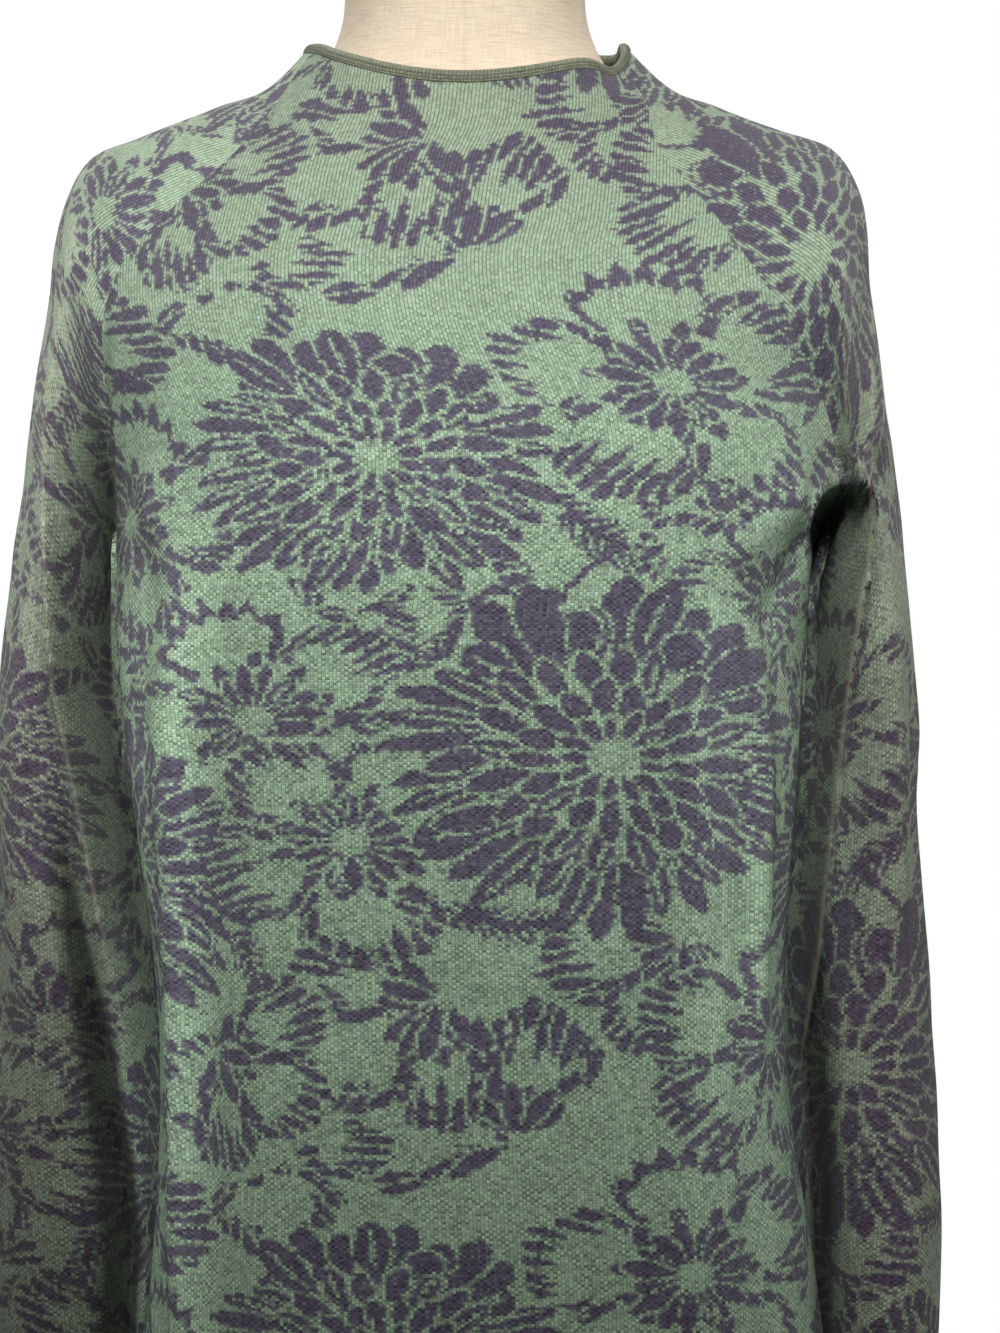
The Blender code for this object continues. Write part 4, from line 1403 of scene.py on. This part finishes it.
def stitchBit(wales, courses):
    # reads a stitch's own bit from the face's window of the chart
    baseU, baseV, _ = attribute(wales.tree, "chartBase")
    bits = attribute(wales.tree, "chartBits")
    column = calc("FLOOR", wales) - baseU
    row = calc("FLOOR", legsOf(wales, courses)[1]) - baseV
    part = calc("FLOOR", (row + 0.01) / window["courses"])
    place = (row - part * window["courses"]) * window["wales"] + column
    low, middle, high = (calc("COMPARE", part, number, 0.25) * bits[number] for number in range(3))
    whole = calc("FLOOR", (low + middle + high) / 2.0**place)
    return calc("FLOORED_MODULO", whole, 2.0)


def softInk(wales, courses):
    # fibres of each stitch reach over into the next, so that the colours' edge is soft
    reach, reads = knitLook["fibre"], []
    for seed in (5.0, 15.0, 25.0):
        fibre = noise(combine(wales, courses, seed), 3.1, 1.0) - 0.5
        fuzzAndPaintedHighlight = noise(combine(courses, wales, seed), 2.7, 1.0) - 0.5
        reads.append(stitchBit(wales + fibre * reach, courses + fuzzAndPaintedHighlight * reach) * (1 / 3))
    return reads[0] + reads[1] + reads[2], fibre


def paintedWarmLight(colour, x, z):
    # a painted warm cast of light: the sage colour is tinted browner in the yoke and on the arms
    high, out = places["warmLightMost"]
    high = ramp(z, *places["warmLightYoke"]) * high
    out = ramp(calc("ABSOLUTE", x), *places["warmLightArms"]) * out
    tinge = mix(1.0, colour, places["warmLightTint"], "MULTIPLY")
    return mix(calc("MAXIMUM", high, out) * places["warmLightShare"], colour, tinge)


def paintedFoldHighlight(colour, wales, courses, beside, fuzzAndPaintedHighlight, fibre):
    # a painted highlight along the edge of a fold, ragged and patchy
    near = bell((beside + fibre * knitLook["foldHighlightRagged"]) / knitLook["foldHighlightWidth"])
    patchy = noise(combine(wales, courses * 0.6, 3.0), 0.25)
    foldHighlight = calc("MULTIPLY", near * fuzzAndPaintedHighlight, patchy * knitLook["foldHighlight"], clamp=True)
    return mix(foldHighlight, colour, knitLook["foldHighlightColour"])


def jacquard():
    made, tree, shader = nodeMaterial("jacquardKnit")
    wales, courses, seam = attribute(tree, "stitch")
    # where the folds' edges lie, their painted highlight and their painted shade
    beside, fuzzAndPaintedHighlight, dark = attribute(tree, "foldPaintedLight")
    x, _, z = axesOf(objectPlace(tree))

    # yarn wanders, so no stitch is quite square
    wander = noise(combine(wales, courses), 0.8, 1.0) - 0.5
    stray = noise(combine(wales, courses, 9.0), 0.7, 1.0) - 0.5
    wales = wales + wander * knitLook["wander"]
    courses = courses + stray * knitLook["wander"]
    ink, fibre = softInk(wales, courses)

    # the relief of the stitches is steadier than the edge of the colours
    off, slant = legsOf(wales, courses)
    cellU, cellV = calc("FLOOR", wales), calc("FLOOR", slant)
    random = cellNoise(combine(cellU, cellV))
    other = cellNoise(combine(cellU, cellV, 7.0))
    checker = calc("FLOORED_MODULO", cellU + cellV, 2.0)
    # the yoke is pulled wide, so that its wales stand out as ribs
    stretched = ramp(z, *places["yoke"])
    even = 1.0 - stretched * 0.8
    slow = noise(combine(wales * 0.02, courses * 0.014), 3.0)

    # the other yarn peeps out between stitches
    green, violet = knit["green"], knit["violet"]
    legGap = off**4.0
    strays = calc("GREATER_THAN", other, 1.0 - knitLook["strayStitches"])
    peep = calc("MINIMUM", (legGap + strays) * knitLook["peek"], 0.5)
    colour = mix(peep, mix(ink, green, violet), mix(ink, violet, green))
    # lighter and darker stitches, with shadow between neighbouring wales
    kept = knitLook["marlInYoke"]
    shade = 1.0 + (random - 0.5) * (knitLook["marl"] * 2) * (kept + even * (1 - kept))
    shade = shade + (checker - 0.5) * even * (knitLook["checker"] * 2)
    shade = shade + (slow - 0.5) * knitLook["patches"]
    rib = knitLook["waleShadow"] + stretched * knitLook["ribShadow"]
    colour = tinted(colour, shade * (knitLook["light"] - legGap * rib))
    # painted shade of the hollows, grooves and sleeves, and painted light on the body's ridges
    colour = tinted(colour, calc("MAXIMUM", 1.0 - dark, knitLook["darkest"]))
    # a painted warm cast in the yoke and on the arms, and a painted highlight along the folds' edges
    colour = paintedFoldHighlight(paintedWarmLight(colour, x, z), wales, courses, beside, fuzzAndPaintedHighlight, fibre)

    leg = calc("SINE", off * math.pi)
    bulge = calc("SINE", calc("FRACT", slant) * math.pi)
    yarn = leg ** relief["roundness"] * (1.0 - (1.0 - bulge) * (even * relief["waist"]))
    yarn = yarn + checker * relief["checker"] + random * relief["marl"]
    height = yarn - bell(seam / relief["seamWidth"]) * relief["seamDepth"]
    setUp(shader, {
        "Base Color": colour,
        "Normal": bump(height, knitLook["stitchDepth"]),
        "Roughness": knitLook["roughness"],
        "Specular IOR Level": knitLook["specular"],
        "Sheen Weight": knitLook["sheen"],
        "Sheen Roughness": 0.25,
        "Sheen Tint": knitLook["sheenTint"],
    })
    return made


jacquardFinish = jacquard()
print("jacquard finish made")


def seamDistance(panel):
    across = panel["across"]
    return np.minimum(across - across[:, :1], across[:, -1:] - across)


pieceOf = {
    "dressFront": "dress_front",
    "dressBack": "dress_back",
    "sleeveLeft": "sleeve_left",
    "sleeveRight": "sleeve_right",
}
garment = {}
for name, node in pieceOf.items():
    panel = panels[name]
    panel["seam"] = seamDistance(panel)
    garment[name] = knitPiece(name, panel, jacquardFinish)
    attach(garment[name], "root")
    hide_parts(node)
print("four knitted pieces made")


rim = {
    "halfHeight": 3.4,
    "halfWidth": 2.6,
    "points": 300,
    "sides": 20,
    "around": 13.0,         # the knit's own length round the rim
    "shade": 0.90,
    "marl": 0.36,
    "waleShadow": 0.55,
    "tint": (1.0, 0.80, 0.76),
    "stitchDepth": 0.7,
    "sheen": 0.15,
}


def neckLoop():
    middles, ups = [], []
    order = (("dressFront", 1), ("sleeveRight", 1), ("dressBack", -1), ("sleeveLeft", -1))
    for name, way in order:
        panel = panels[name]
        line = panel["grid"][0] - panel["normals"][0] * knit["wall"] / 2
        middles.append(line[::way][:-1])
        ups.append(unit(panel["grid"][0] - panel["grid"][2])[::way][:-1])
    both = np.hstack([np.concatenate(middles), np.concatenate(ups)])
    both = np.concatenate([both, both[:1]])
    along = pathLengths(both[:, :3])
    wanted = np.arange(rim["points"]) * along[-1] / rim["points"]
    found = np.stack([np.interp(wanted, along, values) for values in both.T], axis=1)
    return found[:, :3], unit(found[:, 3:]), along[-1]


def rimKnit():
    made, tree, shader = nodeMaterial("rimKnit")
    wales, courses, _ = attribute(tree, "stitch")
    off, slant = legsOf(wales, courses)
    random = cellNoise(combine(calc("FLOOR", wales), calc("FLOOR", slant)))
    shade = rim["shade"] + random * rim["marl"] - off**3.0 * rim["waleShadow"]
    green = tuple(share * c for share, c in zip(rim["tint"], knit["green"]))
    leg, bulge = (calc("SINE", part * math.pi) for part in (off, calc("FRACT", slant)))
    setUp(shader, {
        "Base Color": tinted(green, shade),
        "Normal": bump(leg * bulge + random * 0.3, rim["stitchDepth"]),
        "Roughness": knitLook["roughness"],
        "Specular IOR Level": knitLook["specular"],
        "Sheen Weight": rim["sheen"],
        "Sheen Roughness": 0.3,
    })
    return made


def tubeFaces(count, sides, closed):
    faces = []
    for i in range(count if closed else count - 1):
        for j in range(sides):
            after, beside = (i + 1) % count, (j + 1) % sides
            faces.append([i * sides + j, i * sides + beside, after * sides + beside, after * sides + j])
    return faces


def rolledRim():
    middle, up, length = neckLoop()
    along = unit(np.roll(middle, -1, axis=0) - np.roll(middle, 1, axis=0))
    across = unit(np.cross(along, up))
    count, sides = rim["points"], rim["sides"]
    centre = middle + up * rim["halfHeight"]
    rings = []
    for angle in 2 * math.pi * np.arange(sides) / sides:
        swell = across * rim["halfWidth"] * math.cos(angle) + up * rim["halfHeight"] * math.sin(angle)
        rings.append(centre + swell)
    points = np.stack(rings[::-1], axis=1)
    piece = meshFrom("neckRim", points.reshape(-1, 3), tubeFaces(count, sides, True), rimKnit())
    row, side = np.meshgrid(np.arange(count), np.arange(sides), indexing="ij")
    wale = row * length / count / knit["wale"]
    course = side * rim["around"] / sides / knit["course"]
    addAttribute(piece, "stitch", "POINT", np.stack([wale, course, 0 * wale], axis=-1))
    return piece, length


neckRim, rimLength = rolledRim()
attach(neckRim, "root")
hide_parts("neck_rim")
print("rolled rim made, length", round(rimLength), "mm")


# The dress form: half-width, front and back of each section, and the fullness of its curve.
formShape = table(
    "height half front back power",
    (700, 138, 92, 96, 2.3),
    (780, 137, 93, 98, 2.3),
    (850, 131, 92, 90, 2.3),
    (920, 122, 88, 76, 2.2),
    (985, 118, 86, 68, 2.2),
    (1050, 123, 91, 72, 2.2),
    (1120, 134, 104, 82, 2.2),
    (1190, 145, 116, 90, 2.2),
    (1250, 152, 110, 92, 2.3),
    (1300, 160, 99, 90, 2.3),
    (1340, 165, 86, 84, 2.3),
    (1362, 166, 76, 78, 2.3),
    (1377, 162, 66, 68, 2.1),
    (1389, 148, 60, 62.4, 2.0),
    (1400, 121, 57, 61, 1.95),
    (1410, 94, 60, 64, 2.0),
    (1420, 75, 58, 61, 2.0),
    (1430, 66, 56, 58, 2.0),
    (1442, 60.5, 55, 56, 2.0),
    (1470, 57, 54, 56, 2.0),
    (1514, 56.5, 53, 56, 2.0),
    (1519, 54.5, 51, 54, 2.0),
    (1521, 50.5, 47, 50, 2.0),
)
linenLook = {
    "colour": (0.71, 0.635, 0.48),
    "thread": 0.55,         # pitch of the weave in millimetres
    "slub": 0.22,           # how much thicker threads darken or lighten it
    "radius": 0.075,        # turns the angle round the form into metres of cloth
    "capHeight": 1.512,     # the cap's weave runs straight across it
    "seamWidth": 0.0011,
    "depth": 0.28,          # of its relief, in millimetres
}


def linen():
    made, tree, shader = nodeMaterial("linenCover")
    x, y, z = axesOf(objectPlace(tree))
    capped = calc("GREATER_THAN", z, linenLook["capHeight"])
    around = between(capped, calc("ARCTAN2", y, x) * linenLook["radius"], x)
    along = between(capped, z, y)
    turns = 2 * math.pi / (linenLook["thread"] * mm)
    weft, warp = calc("SINE", along * turns), calc("SINE", around * turns)
    slubs = noise(combine(around * 55.0, along * 1500.0), 1.0, 3.0, 0.6)
    threads = noise(combine(around * 1100.0, along * 90.0), 1.0, 2.0, 0.6)
    shade = 1.0 + (slubs - 0.5) * (linenLook["slub"] * 3)
    shade = shade + (threads - 0.5) * (linenLook["slub"] * 1.6) + weft * warp * 0.05
    dip = bell(x / linenLook["seamWidth"])
    setUp(shader, {
        "Base Color": tinted(linenLook["colour"], shade - dip * 0.05),
        "Normal": bump(slubs + (weft + warp) * 0.25 - dip * 0.7, linenLook["depth"]),
        "Roughness": 0.9,
        "Specular IOR Level": 0.2,
    })
    return made


def cappedRings(name, rings, finish, angle=40):
    count, sides = rings.shape[:2]
    faces = [list(range(sides))[::-1]]
    faces += tubeFaces(count, sides, False)
    faces.append([(count - 1) * sides + j for j in range(sides)])
    piece = meshFrom(name, rings.reshape(-1, 3), faces, finish)
    piece.data.set_sharp_from_angle(angle=math.radians(angle))
    return piece


formMesh = {"sides": 144, "rows": 161, "capRows": 12}


def rounded(value, power):
    return np.sign(value) * np.abs(value) ** (2 / power)


def dressForm():
    heights = np.concatenate([
        np.linspace(700, 1500, formMesh["rows"]),
        np.linspace(1504, 1521, formMesh["capRows"]),
    ])
    angle = np.arange(formMesh["sides"]) * 2 * math.pi / formMesh["sides"]
    sections = {
        key: curveThrough(formShape["height"], values, heights)[:, None]
        for key, values in formShape.items()
    }
    x = sections["half"] * rounded(np.cos(angle), sections["power"])
    depth = np.where(np.sin(angle) < 0, sections["front"], sections["back"])
    y = depth * rounded(np.sin(angle), sections["power"])
    rings = np.stack([x, y, np.broadcast_to(heights[:, None], x.shape)], axis=2)
    return cappedRings("formBody", rings, linen())


formBody = dressForm()
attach(formBody, "root")
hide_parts("form_body")
print("dress form made")


def steelFinish():
    made, tree, shader = nodeMaterial("brushedSteel")
    brushed = tree.nodes.new("ShaderNodeMapping")
    setUp(brushed, {"Vector": objectPlace(tree), "Scale": (60, 60, 2500)})
    grain = noise(Signal(brushed.outputs[0]), 1.0, 3.0, 0.6)
    setUp(shader, {
        "Base Color": mix(grain, (0.56, 0.56, 0.57), (0.68, 0.68, 0.69)),
        "Normal": bump(grain, 0.03),
        "Roughness": 0.24 + grain * 0.22,
        "Metallic": 1.0,
    })
    return made


def coatFinish():
    made, tree, shader = nodeMaterial("powderCoat")
    place = objectPlace(tree)
    slow = noise(place, 14.0, 3.0)
    setUp(shader, {
        "Base Color": mix(slow, (0.74, 0.73, 0.70), (0.80, 0.79, 0.76)),
        "Normal": bump(noise(place, 1400.0), 0.06),
        "Roughness": 0.42 + slow * 0.12,
    })
    return made


steel, coat = steelFinish(), coatFinish()
standFinishes = {
    "stand_base": coat,
    "stand_foot": steel,
    "stand_pole": steel,
    "stand_flange": steel,
}
for node, finish in standFinishes.items():
    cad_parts[node].data.materials.clear()
    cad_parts[node].data.materials.append(finish)
print("stand finished")


# Sheets: the flat size each piece was cut to, in metres.
def clothArea(panel):
    grid = panel["grid"] * mm
    one = np.cross(grid[1:, :-1] - grid[:-1, :-1], grid[:-1, 1:] - grid[:-1, :-1])
    two = np.cross(grid[1:, :-1] - grid[1:, 1:], grid[:-1, 1:] - grid[1:, 1:])
    return float((np.linalg.norm(one, axis=2).sum() + np.linalg.norm(two, axis=2).sum()) / 2)


cuts = {
    "dressFront": (0.52, 0.96, 0.41),
    "dressBack": (0.50, 0.97, 0.39),
    "sleeveLeft": (0.32, 0.75, 0.18),
    "sleeveRight": (0.32, 0.75, 0.158),
}
for name, (width, length, area) in cuts.items():
    print(name, "cloth area", round(clothArea(panels[name]), 4))


studio = {
    "floorReach": 3000,     # millimetres
    "floorSides": 96,
    "ambient": 0.15,
    "lens": 123.75,
    "cameraPlace": (0.0168, -2.2, 1.140),
}
lamps = {
    "keyLight": {
        "place": (0.0, -1.85, 2.30),
        "aim": (0.0, 0.0, 1.245),
        "size": (1.5, 0.35),
        "power": 4.5,
        "spread": 26,       # degrees
        "colour": (1.0, 0.93, 0.93),
    },
    "fillLight": {
        "place": (0.0, -1.3, 2.5),
        "aim": (0, 0, 1.2),
        "size": (1.1, 1.1),
        "power": 7.8,
        "spread": 180,
        "colour": (1.0, 0.80, 0.78),
    },
}
for name, side in (("edgeLeft", -1), ("edgeRight", 1)):
    lamps[name] = {
        "place": (side * 1.1, 1.9, 2.2),
        "aim": (0, 0, 0.9),
        "size": (1.0, 1.0),
        "power": 15.0,
        "spread": 120,
        "colour": (1, 1, 1),
    }


def stageFloor():
    turn = np.arange(studio["floorSides"]) * 2 * math.pi / studio["floorSides"]
    ring = np.stack([np.cos(turn), np.sin(turn), 0 * turn], axis=1) * studio["floorReach"]
    made, tree, shader = nodeMaterial("paleFloor")
    setUp(shader, {
        "Base Color": mix(noise(objectPlace(tree), 5.0), (0.78, 0.78, 0.77), (0.82, 0.82, 0.81)),
        "Roughness": 0.8,
    })
    meshFrom("floor", ring, [list(range(len(ring)))], made, smooth=False)


def hangLamp(name, lamp):
    light = bpy.data.lights.new(name, "AREA")
    light.shape = "RECTANGLE"
    light.size, light.size_y = lamp["size"]
    light.energy = lamp["power"]
    light.color = lamp["colour"]
    light.spread = math.radians(lamp["spread"])
    hung = bpy.data.objects.new(name, light)
    bpy.context.scene.collection.objects.link(hung)
    hung.location = lamp["place"]
    towards = Vector(lamp["aim"]) - Vector(lamp["place"])
    hung.rotation_euler = towards.to_track_quat("-Z", "Y").to_euler()


def surround():
    # faint light from all round, which the camera sees as plain white
    world = bpy.data.worlds.new("studio")
    bpy.context.scene.world = world
    world.use_nodes = True
    tree = world.node_tree
    tree.nodes.clear()
    both = tree.nodes.new("ShaderNodeMixShader")
    rays = tree.nodes.new("ShaderNodeLightPath")
    tree.links.new(rays.outputs["Is Camera Ray"], both.inputs[0])
    for place, strength in ((1, studio["ambient"]), (2, 1.0)):
        sky = tree.nodes.new("ShaderNodeBackground")
        setUp(sky, {"Color": (1, 1, 1), "Strength": strength})
        tree.links.new(sky.outputs[0], both.inputs[place])
    out = tree.nodes.new("ShaderNodeOutputWorld")
    tree.links.new(both.outputs[0], out.inputs["Surface"])


def camera():
    data = bpy.data.cameras.new("camera")
    data.lens = studio["lens"]
    data.sensor_width = 36
    eye = bpy.data.objects.new("camera", data)
    bpy.context.scene.collection.objects.link(eye)
    eye.location = studio["cameraPlace"]
    eye.rotation_euler = (math.radians(90), 0, 0)
    bpy.context.scene.camera = eye


stageFloor()
for name, lamp in lamps.items():
    hangLamp(name, lamp)
surround()
camera()
bpy.context.scene.view_settings.view_transform = "Standard"
print("floor, light and camera placed")
